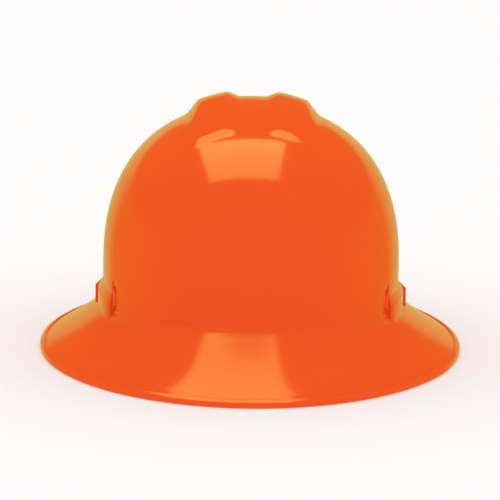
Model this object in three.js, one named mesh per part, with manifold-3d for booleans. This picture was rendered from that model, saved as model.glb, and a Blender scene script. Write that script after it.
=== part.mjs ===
// A full-brim slotted safety helmet with a four-point ratchet suspension.
// Millimetres, +Z up, the wearer looks along -Y and the wearer's left is +X.
// The origin is the middle of the plane that the brim rests on.

import * as THREE from "three";
import { mergeVertices } from "three/addons/utils/BufferGeometryUtils.js";
import Module from "manifold-3d";

const wasm = await Module();
wasm.setup();

// ---- Driving dimensions: the shell ----
const DOME_HALF_WIDTH = 101.6;
const DOME_FRONT_LENGTH = 122;
const DOME_REAR_LENGTH = 126;
const DOME_PLAN_EXPONENT = 2.2;
const DOME_PROFILE_EXPONENT = 2.34;
const DOME_HEIGHT = 164.7;
const DOME_SHOULDER_HEIGHT = 59.6;
const BRIM_HALF_WIDTH = 145;
const BRIM_HALF_LENGTH = 170;
const BRIM_EDGE_HEIGHT = 2.6;
const BRIM_INNER_SLOPE = Math.tan(THREE.MathUtils.degToRad(40));
const BRIM_OUTER_SLOPE = Math.tan(THREE.MathUtils.degToRad(26));
const BRIM_FILLET_RADIUS = 12;
const BRIM_FRONT_INNER_SLOPE = Math.tan(THREE.MathUtils.degToRad(42));
const BRIM_FRONT_OUTER_SLOPE = Math.tan(THREE.MathUtils.degToRad(24));
const BRIM_FRONT_BEND = 2.5;
const BRIM_FRONT_FILLET_RADIUS = 6;
const BRIM_FRONT_START = 0.72;
const BRIM_FRONT_FULL = 0.94;
const BRIM_FRACTIONS = [0.25, 0.5, 0.75];
const FILLET_FRACTIONS = [0, 0.35, 0.7, 1];
const SHELL_WALL = 2.4;
const BEAD_WIDTH = 3.6;
const BEAD_RISE = 0.8;
const BEAD_ROUNDING = 0.8;
const SHELL_COLUMNS = 72;
const DOME_RINGS = 15;

// ---- Driving dimensions: the crown ridges ----
const RIDGE_HALF_SPREAD = 47.5;
const RIDGE_SIDE_STEP = 11;
const RIDGE_PEAK_OFFSET = 19;
const RIDGE_RISE = 9.4;
const RIDGE_FALL_PER_MM = 0.085;
const RIDGE_VALLEY_DEPTH = 3.9;
const RIDGE_VALLEY_STEP = 11;
const RIDGE_FRONT_END = 58;
const RIDGE_REAR_END = 80;
const RIDGE_SIDE_EXTRA = 6;
const RIDGE_REAR_STEP = 34;
const RIDGE_FRONT_RAMP = 90;
const RIDGE_FRONT_STEP = 6;
const RIDGE_STEP_SHARE = 0.2;
const RIDGE_CREST_ROUNDING = 7;

// ---- Driving dimensions: the side panels, slot housings and scoops ----
const PANEL_RISE = 3.6;
const PANEL_FRONT_RISE = 2.4;
const PANEL_FRONT_ANGLE = 31;
const PANEL_REAR_ANGLE = -3;
const PANEL_STEPS = 8;
const PANEL_TOP = 41;
const PANEL_FRONT_TOP = 41;
const PANEL_CHAMFER = 6;
const PANEL_ROOT_LIFT = 5;
const HOUSING_START = 4;
const HOUSING_LENGTH = 30;
const HOUSING_RISE = 6.1;
const HOUSING_TAPER = 3.2;
const HOUSING_TOP = 39.5;
const HOUSING_REAR_TOP = 34.5;
const HOUSING_CHAMFER = 6.5;
const HOUSING_REAR_CHAMFER_SHARE = 0.8;
const SLOT_WIDTH = 26;
const SLOT_THICKNESS = 5.5;
const SLOT_OUTER_WALL = 2.2;
const SLOT_TOP = 38;
const SLOT_REAR_TOP = 35;
const SLOT_INNER_WALL = 2.4;
const SCOOP_ANGLE = 36;
const SCOOP_WIDTH = 18;
const SCOOP_HEIGHT = 23;
const SCOOP_MIDDLE = 44;
const SCOOP_DEPTH = 1.6;
const SCOOP_SEGMENTS = 8;

// ---- Driving dimensions: keys and their sockets ----
const FRONT_KEY_ANGLE = 40;
const REAR_KEY_ANGLE = 45;
const SOCKET_BOTTOM = 32.4;
const SOCKET_TOP = 53;
const SOCKET_HALF_WIDTH = 13;
const SOCKET_DEPTH = 9.4;
const SOCKET_INNER_WALL = 1.6;
const BLADE_THICKNESS = 2.4;
const BLADE_HALF_WIDTH = 9;
const BLADE_TOP = 48;
const FIT_GAP = 0.4;
const KEY_PLATE_THICKNESS = 2.6;
const KEY_HALF_WIDTH = 13;
const KEY_BOTTOM = 28;
const KEY_TOP = 62.4;
const KEY_WINDOW_BOTTOM = 55.2;
const KEY_WINDOW_TOP = 58.8;
const STUD_RADIUS = 2.2;
const STUD_HEIGHT = 49.9;
const STUD_HEAD_RADIUS = 4;
const STUD_HEAD_THICKNESS = 1.4;
const STUD_SIDES = 16;
const STUD_HEAD_SIDES = 20;

// ---- Driving dimensions: straps, headband and pads ----
const STRAP_WIDTH = 19;
const STRAP_THICKNESS = 1.2;
const CROWN_STRAP_HEIGHT = 125;
const CROWN_STRAP_EXPONENT = 2.25;
const CROWN_STRAP_STEPS = 26;
const STRAP_CROSSING_GAP = 0.4;
const STRAP_BEND = 0.9;
const STRAP_LEAN = 0.2;
const STRAP_STRAIGHT = 4;
const STRAP_TWIST_ENDS = 3;
const BAND_SIDE_ROOM = 18.6;
const BAND_FRONT_ROOM = 22;
const BAND_PLAN_EXPONENT = 2.2;
const BAND_THICKNESS = 1.6;
const BAND_BOTTOM = 11;
const BAND_TOP = 35;
const BAND_END_ANGLE = 60;
const BAND_STEPS = 48;
const TAB_HALF_WIDTH = 8;
const HEIGHT_TRAVEL = 10;
const BROW_PAD_THICKNESS = 5;
const BROW_PAD_HALF_ANGLE = 58;
const BROW_PAD_OVERHANG = 0.5;
const BROW_PAD_STEPS = 20;
const NAPE_PAD_THICKNESS = 4;
const NAPE_PAD_INSET_ANGLE = 4;
const NAPE_PAD_STEPS = 10;

// ---- Driving dimensions: the ratchet ----
const RATCHET_HEIGHT = 24;
const NAPE_LAP_ROOM = 6;
const NAPE_STRAP_HALF_HEIGHT = 11;
const NAPE_STRAP_GAP = 0.4;
const NAPE_LAP_END = 85;
const NAPE_STRAP_STEPS = 34;
const NAPE_RACK_END = 28.5;
const RACK_SLOT_END = 25;
const PINION_RADIUS = 5;
const PINION_TEETH = 12;
const TOOTH_ADDENDUM = 0.85;
const TOOTH_DEDENDUM = 1.05;
const RACK_ADDENDUM = 0.6;
const TOOTH_FILL = 0.38;
const TOOTH_ROOT_SPREAD = 0.18;
const TOOTH_TIP_TAPER = 0.16;
const HOUSING_WALL = 2;
const HOUSING_HALF_ANGLE = 30;
const HOUSING_HALF_HEIGHT = 17;
const HOUSING_STEPS = 12;
const COVER_THICKNESS = 1.9;
const SCREW_ANGLE = 26;
const SCREW_OFFSET = 14.2;
const SCREW_RADIUS = 1.1;
const SCREW_HEAD_RADIUS = 2.2;
const SCREW_HEAD_HEIGHT = 1.4;
const SCREW_LENGTH = 6.2;
const SCREW_BORE_DEPTH = 5;
const SCREW_SIDES = 18;
const HEAD_CROWN_SHARE = 0.6;
const SCREW_POINT_SHARE = 0.3;
const RECESS_ARM_SHARE = 0.6;
const RECESS_WIDTH_SHARE = 0.14;
const RECESS_DEPTH_SHARE = 0.55;
const SHAFT_RADIUS = 3;
const PILOT_RADIUS = 2;
const HUB_WALL = 2.3;
const THREAD_DEPTH = 8;
const KNOB_RADIUS = 22;
const KNOB_LOBES = 12;
const KNOB_LOBE_DEPTH = 0.9;
const KNOB_DEPTH = 13.8;
const KNOB_END_WALL = 4.2;
const KNOB_LOBE_STEPS = 6;
const WEB_THICKNESS = 1.2;
const WASHER_THICKNESS = 0.6;
const WASHER_RADIUS = 3.2;
const KNOB_SCREW_HEAD_RADIUS = 3;
const KNOB_SCREW_HEAD_HEIGHT = 1.5;
const KNOB_SCREW_LENGTH = 8.2;
const CLICK_TEETH = 36;
const CLICK_RING_INNER = 15;
const CLICK_RING_ROOT = 16;
const CLICK_RING_OUTER = 17.8;
const CLICK_RING_DEPTH = 5.2;
const SPRING_ARMS = 3;
const SPRING_THICKNESS = 2.2;
const SPRING_COLLAR = 2.2;
const SPRING_ARM_START = 1.2;
const SPRING_ARM_WIDTH = 1.4;
const SPRING_TIP_WIDTH = 0.8;
const SPRING_ARM_CLEARANCE = 1.4;
const SPRING_SWEEP = 85;
const SPRING_ARM_STEPS = 9;
const SPRING_NOSE_SPREAD = 0.1;
const SPRING_NOSE_LEAD = 0.02;
const SPRING_ARM_LAG = 0.03;
const TOUCH_GAP = 0.3;
const CUT_MARGIN = 1;
const OVERLAP = 0.5;
const FINE_SIDES = 48;
const ROUND_SIDES = 28;
const SMALL_SIDES = 16;

// ---- Values worked out from the driving dimensions ----
const TAU = Math.PI * 2;
const HOUSING_FACE_X = DOME_HALF_WIDTH + HOUSING_RISE;
const BAND_HALF_WIDTH = DOME_HALF_WIDTH - BAND_SIDE_ROOM;
const BAND_HALF_LENGTH = DOME_FRONT_LENGTH - BAND_FRONT_ROOM;
const NAPE_RADIUS = BAND_HALF_WIDTH - NAPE_LAP_ROOM;
const PLATE_OUTER = SOCKET_DEPTH + FIT_GAP;
const PLATE_INNER = PLATE_OUTER + KEY_PLATE_THICKNESS;
const SLOT_BACK = SOCKET_DEPTH - SOCKET_INNER_WALL;
const BLADE_BACK = SLOT_BACK - FIT_GAP;
const SLOT_FRONT = BLADE_BACK - BLADE_THICKNESS - FIT_GAP;
const NAPE_CENTRE = BAND_HALF_LENGTH - NAPE_RADIUS;
const LEFT_RADIUS = NAPE_RADIUS - BAND_THICKNESS / 2;
const RIGHT_RADIUS = LEFT_RADIUS - BAND_THICKNESS - NAPE_STRAP_GAP;
const NAPE_INNER = RIGHT_RADIUS - BAND_THICKNESS / 2;
const HOUSING_INNER = NAPE_RADIUS + NAPE_STRAP_GAP;
const HOUSING_OUTER = HOUSING_INNER + HOUSING_WALL;
const FLANGE_INNER = NAPE_INNER - 2 * TOUCH_GAP;
const COVER_OUTER = FLANGE_INNER - TOUCH_GAP;
const COVER_INNER = COVER_OUTER - COVER_THICKNESS;
const GUIDE_HALF_HEIGHT = NAPE_STRAP_HALF_HEIGHT + FIT_GAP;
const TOOTH_PITCH = (TAU * PINION_RADIUS) / PINION_TEETH;
const FLOOR_Y = NAPE_CENTRE + HOUSING_OUTER + FIT_GAP;
const KNOB_FRONT = FLOOR_Y + FIT_GAP;
const KNOB_REAR = KNOB_FRONT + KNOB_DEPTH;
const KNOB_CAVITY_END = KNOB_REAR - KNOB_END_WALL;
const HUB_RADIUS = SHAFT_RADIUS + TOUCH_GAP + HUB_WALL;

const degrees = THREE.MathUtils.degToRad;
const helmet = new THREE.Group();

const FINISHES = {
  shell: { color: 0xf05a23, roughness: 0.18, metalness: 0 },
  moulding: { color: 0x22242a, roughness: 0.5, metalness: 0 },
  band: { color: 0x2a2c31, roughness: 0.45, metalness: 0 },
  webbing: { color: 0x1d1e21, roughness: 0.9, metalness: 0 },
  foam: { color: 0x2e2f33, roughness: 0.85, metalness: 0 },
  steel: { color: 0xb9bcc2, roughness: 0.35, metalness: 1 },
  acetal: { color: 0xe6e3da, roughness: 0.4, metalness: 0 },
};

// ---- Solids ----

function toSolid(geometry) {
  const bare = geometry.clone();
  bare.deleteAttribute("normal");
  bare.deleteAttribute("uv");
  const merged = mergeVertices(bare, 1e-4);
  const vertProperties = new Float32Array(merged.attributes.position.array);
  const triVerts = new Uint32Array(merged.index.array);
  return new wasm.Manifold(new wasm.Mesh({ numProp: 3, vertProperties, triVerts }));
}

function toGeometry(solid) {
  const mesh = solid.getMesh();
  const geometry = new THREE.BufferGeometry();
  const positions = new Float32Array(mesh.vertProperties);
  geometry.setAttribute("position", new THREE.BufferAttribute(positions, 3));
  geometry.setIndex(new THREE.BufferAttribute(new Uint32Array(mesh.triVerts), 1));
  geometry.computeVertexNormals();
  return geometry;
}

function addPiece(name, solid, finish, matrix = null) {
  const mesh = new THREE.Mesh(toGeometry(solid), new THREE.MeshStandardMaterial(FINISHES[finish]));
  mesh.name = name;
  if (matrix) {
    matrix.decompose(mesh.position, mesh.quaternion, mesh.scale);
  }
  helmet.add(mesh);
}

// A closed body through a list of sections, each a list of the same number of points.
function loft(sections) {
  const count = sections[0].length;
  const points = sections.flat().flatMap((p) => [p.x, p.y, p.z]);
  const index = [];
  for (let s = 0; s < sections.length - 1; s += 1) {
    const here = s * count;
    const next = here + count;
    for (let k = 0; k < count; k += 1) {
      const after = (k + 1) % count;
      index.push(here + k, here + after, next + after);
      index.push(here + k, next + after, next + k);
    }
  }
  const last = (sections.length - 1) * count;
  for (const [a, b, c] of THREE.ShapeUtils.triangulateShape(flatten(sections[0]), [])) {
    index.push(a, c, b);
  }
  for (const [a, b, c] of THREE.ShapeUtils.triangulateShape(flatten(sections.at(-1)), [])) {
    index.push(last + a, last + b, last + c);
  }
  const geometry = new THREE.BufferGeometry();
  geometry.setAttribute("position", new THREE.Float32BufferAttribute(points, 3));
  geometry.setIndex(index);
  return facingOut(geometry);
}

// A planar section's points in its own plane, for filling its outline.
function flatten(section) {
  const normal = new THREE.Vector3();
  section.forEach((p, k) => {
    const q = section[(k + 1) % section.length];
    normal.add(new THREE.Vector3().crossVectors(p, q));
  });
  normal.normalize();
  const across = new THREE.Vector3().subVectors(section[1], section[0]).normalize();
  const up = new THREE.Vector3().crossVectors(normal, across);
  return section.map((p) => new THREE.Vector2(p.dot(across), p.dot(up)));
}

function facingOut(geometry) {
  const position = geometry.attributes.position;
  const index = geometry.index.array;
  const corners = [new THREE.Vector3(), new THREE.Vector3(), new THREE.Vector3()];
  let volume = 0;
  for (let i = 0; i < index.length; i += 3) {
    corners.forEach((corner, k) => corner.fromBufferAttribute(position, index[i + k]));
    volume += corners[0].dot(corners[1].clone().cross(corners[2]));
  }
  if (volume < 0) {
    for (let i = 0; i < index.length; i += 3) {
      [index[i + 1], index[i + 2]] = [index[i + 2], index[i + 1]];
    }
  }
  return toSolid(geometry);
}

// A box between two corners.
function block(x0, x1, y0, y1, z0, z1) {
  const geometry = new THREE.BoxGeometry(x1 - x0, y1 - y0, z1 - z0);
  geometry.translate((x0 + x1) / 2, (y0 + y1) / 2, (z0 + z1) / 2);
  return toSolid(geometry);
}

// A round bar along Y, from y0 to y1, centred on x = 0 and z = 0.
function barAlongY(radius, y0, y1, sides = ROUND_SIDES) {
  const geometry = new THREE.CylinderGeometry(radius, radius, y1 - y0, sides);
  geometry.translate(0, (y0 + y1) / 2, 0);
  return toSolid(geometry);
}

// A flat outline, in X and Z, given thickness along Y from y0 to y1.
function plateAlongY(outline, y0, y1) {
  const shape = new THREE.Shape(outline.map(([x, z]) => new THREE.Vector2(x, z)));
  const geometry = new THREE.ExtrudeGeometry(shape, { depth: y1 - y0, bevelEnabled: false });
  geometry.rotateX(Math.PI / 2);
  geometry.translate(0, y1, 0);
  return toSolid(geometry);
}

const raised = (solid) => solid.translate([0, 0, RATCHET_HEIGHT]);

function mirrored(solid) {
  return solid.mirror([1, 0, 0]);
}

// ---- Plan outlines ----

function planRadius(angle, halfWidth, front, rear, exponent) {
  const halfLength = Math.sin(angle) < 0 ? front : rear;
  const across = Math.abs(Math.cos(angle)) / halfWidth;
  const along = Math.abs(Math.sin(angle)) / halfLength;
  return (across ** exponent + along ** exponent) ** (-1 / exponent);
}

function domeRadius(angle) {
  return planRadius(angle, DOME_HALF_WIDTH, DOME_FRONT_LENGTH, DOME_REAR_LENGTH, DOME_PLAN_EXPONENT);
}

function brimRadius(angle) {
  return planRadius(angle, BRIM_HALF_WIDTH, BRIM_HALF_LENGTH, BRIM_HALF_LENGTH, 2);
}

function bandRadius(angle) {
  return planRadius(angle, BAND_HALF_WIDTH, BAND_HALF_LENGTH, BAND_HALF_LENGTH, BAND_PLAN_EXPONENT);
}

function polar(radius, angle, z) {
  return new THREE.Vector3(radius * Math.cos(angle), radius * Math.sin(angle), z);
}

// The unit outward normal of a plan outline at a polar angle.
function planNormal(radiusAt, angle) {
  const step = 1e-4;
  const ahead = polar(radiusAt(angle + step), angle + step, 0);
  const behind = polar(radiusAt(angle - step), angle - step, 0);
  const tangent = ahead.sub(behind).normalize();
  return new THREE.Vector3(tangent.y, -tangent.x, 0);
}

// ---- Shell ----

function smoothstep(value) {
  const t = THREE.MathUtils.clamp(value, 0, 1);
  return t * t * (3 - 2 * t);
}

// How far the twin ridges of the crown stand above the plain dome. They start at the front with a
// small step, which only the ridges have, and a long ramp.
function ridgeRise(x, y) {
  const across = Math.abs(x);
  const past = across - RIDGE_PEAK_OFFSET;
  const side = smoothstep((RIDGE_HALF_SPREAD - across) / RIDGE_SIDE_STEP);
  const crest = RIDGE_RISE - (RIDGE_FALL_PER_MM * (Math.hypot(past, RIDGE_CREST_ROUNDING) + past)) / 2;
  const valley = smoothstep(-past / RIDGE_VALLEY_STEP);
  const outward = THREE.MathUtils.clamp(past / RIDGE_PEAK_OFFSET, 0, 1);
  const extra = RIDGE_SIDE_EXTRA * outward;
  const along = y + RIDGE_FRONT_END + extra;
  const ramp = smoothstep(along / RIDGE_FRONT_RAMP);
  const step = smoothstep(along / RIDGE_FRONT_STEP);
  const front = ramp + (step - ramp) * RIDGE_STEP_SHARE * side * (1 - valley);
  const rear = smoothstep((RIDGE_REAR_END + extra - y) / RIDGE_REAR_STEP);
  return (side * crest - RIDGE_VALLEY_DEPTH * valley) * front * rear;
}

function domePoint(angle, ring, wall) {
  const turn = ((ring / DOME_RINGS) * Math.PI) / 2;
  const power = 2 / DOME_PROFILE_EXPONENT;
  const radius = (domeRadius(angle) - wall) * Math.sin(turn) ** power;
  const height = DOME_HEIGHT - wall - DOME_SHOULDER_HEIGHT;
  const point = polar(radius, angle, DOME_SHOULDER_HEIGHT + height * Math.cos(turn) ** power);
  point.z += ridgeRise(point.x, point.y);
  return point;
}

// The brim's width, slopes and fillet at a polar angle: at the front it meets the dome higher.
function brimShape(angle) {
  const front = smoothstep((-Math.sin(angle) - BRIM_FRONT_START) / (BRIM_FRONT_FULL - BRIM_FRONT_START));
  return {
    width: brimRadius(angle) - domeRadius(angle),
    inner: THREE.MathUtils.lerp(BRIM_INNER_SLOPE, BRIM_FRONT_INNER_SLOPE, front),
    outer: THREE.MathUtils.lerp(BRIM_OUTER_SLOPE, BRIM_FRONT_OUTER_SLOPE, front),
    fillet: THREE.MathUtils.lerp(BRIM_FILLET_RADIUS, BRIM_FRONT_FILLET_RADIUS, front),
    bend: THREE.MathUtils.lerp(1, BRIM_FRONT_BEND, front),
  };
}

// Height of the brim's top face, at a distance out from the dome wall.
function brimHeight(out, shape) {
  const easing = ((shape.inner - shape.outer) * shape.width) / (shape.bend + 1);
  const root = BRIM_EDGE_HEIGHT + shape.inner * shape.width - easing;
  return root - shape.inner * out + easing * (out / shape.width) ** (shape.bend + 1);
}

function filletStart(shape) {
  const turn = Math.PI / 2 - Math.atan(shape.inner);
  const out = shape.fillet * (1 - Math.cos(turn));
  return { turn, top: brimHeight(out, shape) + shape.fillet * Math.sin(turn) };
}

// Points of the outer face below the dome, from the wall down to the bead.
function outerBrim(angle) {
  const wall = domeRadius(angle);
  const shape = brimShape(angle);
  const start = filletStart(shape);
  const points = FILLET_FRACTIONS.map((share) => {
    const turn = start.turn * share;
    const out = shape.fillet * (1 - Math.cos(turn));
    return polar(wall + out, angle, start.top - shape.fillet * Math.sin(turn));
  });
  for (const share of BRIM_FRACTIONS) {
    const out = share * shape.width;
    points.push(polar(wall + out, angle, brimHeight(out, shape)));
  }
  const rim = wall + shape.width;
  const groove = shape.width - BEAD_WIDTH;
  const lead = groove - BEAD_ROUNDING;
  points.push(polar(wall + lead, angle, brimHeight(lead, shape)));
  points.push(polar(wall + groove, angle, brimHeight(groove, shape) + BEAD_RISE));
  points.push(polar(rim - BEAD_ROUNDING, angle, BRIM_EDGE_HEIGHT + BEAD_RISE));
  points.push(polar(rim, angle, BRIM_EDGE_HEIGHT));
  return points;
}

// Points of the under face, from the bead's foot up to the wall.
function innerBrim(angle) {
  const wall = domeRadius(angle);
  const shape = brimShape(angle);
  const start = filletStart(shape);
  const rim = wall + shape.width;
  const foot = [
    polar(rim, angle, BEAD_ROUNDING),
    polar(rim - BEAD_ROUNDING, angle, 0),
    polar(rim - BEAD_WIDTH, angle, 0),
  ];
  const brim = BRIM_FRACTIONS.map((share) => {
    const out = share * shape.width;
    const slope = shape.inner - (shape.inner - shape.outer) * share ** shape.bend;
    const drop = SHELL_WALL * Math.hypot(1, slope);
    return polar(wall + out, angle, brimHeight(out, shape) - drop);
  });
  const radius = shape.fillet + SHELL_WALL;
  const arc = FILLET_FRACTIONS.map((share) => {
    const turn = start.turn * share;
    return polar(wall + shape.fillet - radius * Math.cos(turn), angle, start.top - radius * Math.sin(turn));
  });
  return [...foot, ...brim.reverse(), ...arc.reverse()];
}

// A closed body from one column of points for each polar angle; its first and last points are poles.
function roundBody(columnAt) {
  const sections = [];
  for (let c = 0; c < SHELL_COLUMNS; c += 1) {
    sections.push(columnAt((c / SHELL_COLUMNS) * TAU));
  }
  const rows = sections[0].length;
  const points = [];
  const index = [];
  const inner = rows - 2;
  for (const section of sections) {
    section.slice(1, -1).forEach((p) => points.push(p.x, p.y, p.z));
  }
  const first = sections[0][0];
  const last = sections[0][rows - 1];
  const firstPole = SHELL_COLUMNS * inner;
  points.push(first.x, first.y, first.z, last.x, last.y, last.z);
  for (let c = 0; c < SHELL_COLUMNS; c += 1) {
    const here = c * inner;
    const next = ((c + 1) % SHELL_COLUMNS) * inner;
    index.push(firstPole, here, next);
    index.push(firstPole + 1, next + inner - 1, here + inner - 1);
    for (let k = 0; k < inner - 1; k += 1) {
      index.push(here + k, here + k + 1, next + k + 1);
      index.push(here + k, next + k + 1, next + k);
    }
  }
  const geometry = new THREE.BufferGeometry();
  geometry.setAttribute("position", new THREE.Float32BufferAttribute(points, 3));
  geometry.setIndex(index);
  return facingOut(geometry);
}

function outerColumn(angle) {
  const column = [];
  for (let ring = 0; ring <= DOME_RINGS; ring += 1) {
    column.push(domePoint(angle, ring, 0));
  }
  return column.concat(outerBrim(angle));
}

function shellWall() {
  return roundBody((angle) => {
    const column = outerColumn(angle).concat(innerBrim(angle));
    for (let ring = DOME_RINGS; ring >= 0; ring -= 1) {
      column.push(domePoint(angle, ring, SHELL_WALL));
    }
    return column;
  });
}

// The whole space inside the shell's outer face, which trims what is moulded inside.
function shellEnvelope() {
  return roundBody((angle) => outerColumn(angle).concat([new THREE.Vector3(0, 0, 0)]));
}

// The stepped panel that runs forward from the slot housing to the scoop, on the wearer's left.
function sidePanel() {
  const sections = [];
  for (let s = 0; s <= PANEL_STEPS; s += 1) {
    const share = s / PANEL_STEPS;
    const angle = -degrees(THREE.MathUtils.lerp(PANEL_REAR_ANGLE, PANEL_FRONT_ANGLE, share));
    const rise = THREE.MathUtils.lerp(PANEL_RISE, PANEL_FRONT_RISE, share * share);
    const top = THREE.MathUtils.lerp(PANEL_TOP, PANEL_FRONT_TOP, share);
    const wall = polar(domeRadius(angle), angle, 0);
    const normal = planNormal(domeRadius, angle);
    const foot = brimHeight(rise, brimShape(angle));
    const at = (out, z) => wall.clone().addScaledVector(normal, out).setZ(z);
    const inside = -SHELL_WALL / 2;
    const lower = [at(inside, foot + PANEL_ROOT_LIFT), at(rise, foot)];
    sections.push([...lower, at(rise, top), at(inside, top + PANEL_CHAMFER)]);
  }
  return loft(sections);
}

// Frame of the slot housing: x runs out of its face, y runs back along the face.
function slotFrame() {
  const lean = Math.asin(HOUSING_TAPER / HOUSING_LENGTH);
  const frame = new THREE.Matrix4().makeRotationZ(lean);
  frame.setPosition(HOUSING_FACE_X, HOUSING_START, 0);
  return frame;
}

const housingFoot = () => brimHeight(0, brimShape(0)) - BRIM_FILLET_RADIUS / 2;

function slotHousing() {
  const foot = housingFoot();
  const root = -(HOUSING_FACE_X - DOME_HALF_WIDTH + SHELL_WALL / 2);
  const sectionAt = (y, top, chamfer) => [
    new THREE.Vector3(root, y, foot + PANEL_ROOT_LIFT),
    new THREE.Vector3(0, y, foot),
    new THREE.Vector3(0, y, top),
    new THREE.Vector3(-chamfer, y, top + chamfer),
    new THREE.Vector3(root, y, top + chamfer),
  ];
  const front = sectionAt(0, HOUSING_TOP, HOUSING_CHAMFER);
  const rear = sectionAt(HOUSING_LENGTH, HOUSING_REAR_TOP, HOUSING_CHAMFER * HOUSING_REAR_CHAMFER_SHARE);
  return loft([front, rear]).transform(slotFrame().toArray());
}

// The inner wall that closes the accessory slot towards the head.
function slotInnerWall() {
  const outer = -SLOT_OUTER_WALL - SLOT_THICKNESS + FIT_GAP;
  const inner = outer - SLOT_INNER_WALL - FIT_GAP;
  const margin = (HOUSING_LENGTH - SLOT_WIDTH) / 2;
  const top = SLOT_TOP + margin;
  const wall = block(inner, outer, margin / 2, HOUSING_LENGTH - margin / 2, housingFoot(), top);
  return wall.transform(slotFrame().toArray());
}

function slotCavity() {
  const outer = -SLOT_OUTER_WALL;
  const inner = outer - SLOT_THICKNESS;
  const margin = (HOUSING_LENGTH - SLOT_WIDTH) / 2;
  const sectionAt = (y, top) => [
    new THREE.Vector3(inner, y, 0),
    new THREE.Vector3(outer, y, 0),
    new THREE.Vector3(outer, y, top),
    new THREE.Vector3(inner, y, top),
  ];
  const cavity = loft([sectionAt(margin, SLOT_TOP), sectionAt(HOUSING_LENGTH - margin, SLOT_REAR_TOP)]);
  return cavity.transform(slotFrame().toArray());
}

// A frame on the dome wall: x out of the wall, y along it, z up.
function wallFrame(angle) {
  const normal = planNormal(domeRadius, angle);
  const frame = new THREE.Matrix4().makeRotationZ(Math.atan2(normal.y, normal.x));
  frame.setPosition(polar(domeRadius(angle), angle, 0));
  return frame;
}

// The D-shaped scoop in front of the panel, with its round side towards the forehead.
function scoop() {
  const outline = new THREE.Shape();
  const half = SCOOP_HEIGHT / 2;
  outline.moveTo(0, half);
  outline.lineTo(0, -half);
  outline.absellipse(0, 0, SCOOP_WIDTH, half, -Math.PI / 2, Math.PI / 2, false);
  const depth = SCOOP_DEPTH + SHELL_WALL;
  const settings = { depth, bevelEnabled: false, curveSegments: SCOOP_SEGMENTS };
  const geometry = new THREE.ExtrudeGeometry(outline, settings);
  geometry.rotateX(Math.PI / 2);
  geometry.rotateZ(-Math.PI / 2);
  geometry.translate(-SCOOP_DEPTH, SCOOP_WIDTH / 2, SCOOP_MIDDLE);
  return toSolid(geometry).transform(wallFrame(-degrees(SCOOP_ANGLE)).toArray());
}

function socketBlock() {
  return block(-SOCKET_DEPTH, 0, -SOCKET_HALF_WIDTH, SOCKET_HALF_WIDTH, SOCKET_BOTTOM, SOCKET_TOP);
}

function socketSlot() {
  const half = BLADE_HALF_WIDTH + FIT_GAP;
  return block(-SLOT_BACK, -SLOT_FRONT, -half, half, 0, BLADE_TOP + 2 * CUT_MARGIN);
}

const KEYS = [
  { name: "front_left", angle: -degrees(FRONT_KEY_ANGLE) },
  { name: "front_right", angle: Math.PI + degrees(FRONT_KEY_ANGLE) },
  { name: "rear_left", angle: degrees(REAR_KEY_ANGLE) },
  { name: "rear_right", angle: Math.PI - degrees(REAR_KEY_ANGLE) },
];

function buildShell() {
  let outside = sidePanel().add(slotHousing());
  outside = outside.add(mirrored(outside));
  let inside = slotInnerWall().add(mirrored(slotInnerWall()));
  let cuts = slotCavity().add(mirrored(slotCavity()));
  cuts = cuts.add(scoop()).add(mirrored(scoop()));
  for (const key of KEYS) {
    const frame = wallFrame(key.angle).toArray();
    inside = inside.add(socketBlock().transform(frame));
    cuts = cuts.add(socketSlot().transform(frame));
  }
  const kept = inside.intersect(shellEnvelope());
  addPiece("shell", shellWall().add(outside).add(kept).subtract(cuts), "shell");
}

// ---- Keys ----

// How far the headband's middle lies in from the dome wall, along a key's own x.
function bandInset(angle) {
  const frame = wallFrame(angle);
  let low = 0;
  let high = DOME_HALF_WIDTH;
  for (let i = 0; i < 50; i += 1) {
    const middle = (low + high) / 2;
    const point = new THREE.Vector3(-middle, 0, 0).applyMatrix4(frame);
    const beyond = Math.hypot(point.x, point.y) > bandRadius(Math.atan2(point.y, point.x));
    low = beyond ? middle : low;
    high = beyond ? high : middle;
  }
  return low;
}

function pinAlongX(radius, x0, x1, z, sides) {
  const geometry = new THREE.CylinderGeometry(radius, radius, x1 - x0, sides);
  geometry.rotateZ(Math.PI / 2);
  geometry.translate((x0 + x1) / 2, 0, z);
  return toSolid(geometry);
}

// A block of a key that lies the same distance either side of its middle.
function keyBlock(inner, outer, half, bottom, top) {
  return block(-inner, -outer, -half, half, bottom, top);
}

function buildKeys() {
  const bladeFront = BLADE_BACK - BLADE_THICKNESS;
  const bridgeTop = SOCKET_BOTTOM - FIT_GAP;
  const windowHalf = STRAP_WIDTH / 2 + FIT_GAP + TOUCH_GAP;
  for (const key of KEYS) {
    const headStart = bandInset(key.angle) + BAND_THICKNESS / 2 + FIT_GAP;
    const headEnd = headStart + STUD_HEAD_THICKNESS;
    const pieces = [
      keyBlock(PLATE_INNER, bladeFront, BLADE_HALF_WIDTH, KEY_BOTTOM, bridgeTop),
      keyBlock(BLADE_BACK, bladeFront, BLADE_HALF_WIDTH, KEY_BOTTOM, BLADE_TOP),
      pinAlongX(STUD_RADIUS, OVERLAP - headEnd, -PLATE_OUTER, STUD_HEIGHT, STUD_SIDES),
      pinAlongX(STUD_HEAD_RADIUS, -headEnd, -headStart, STUD_HEIGHT, STUD_HEAD_SIDES),
    ];
    let body = keyBlock(PLATE_INNER, PLATE_OUTER, KEY_HALF_WIDTH, KEY_BOTTOM, KEY_TOP);
    for (const piece of pieces) {
      body = body.add(piece);
    }
    const windowInner = PLATE_INNER + CUT_MARGIN;
    const windowOuter = PLATE_OUTER - CUT_MARGIN;
    const window = keyBlock(windowInner, windowOuter, windowHalf, KEY_WINDOW_BOTTOM, KEY_WINDOW_TOP);
    addPiece(`key_${key.name}`, body.subtract(window), "moulding", wallFrame(key.angle));
  }
}

// ---- Crown straps ----

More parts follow.
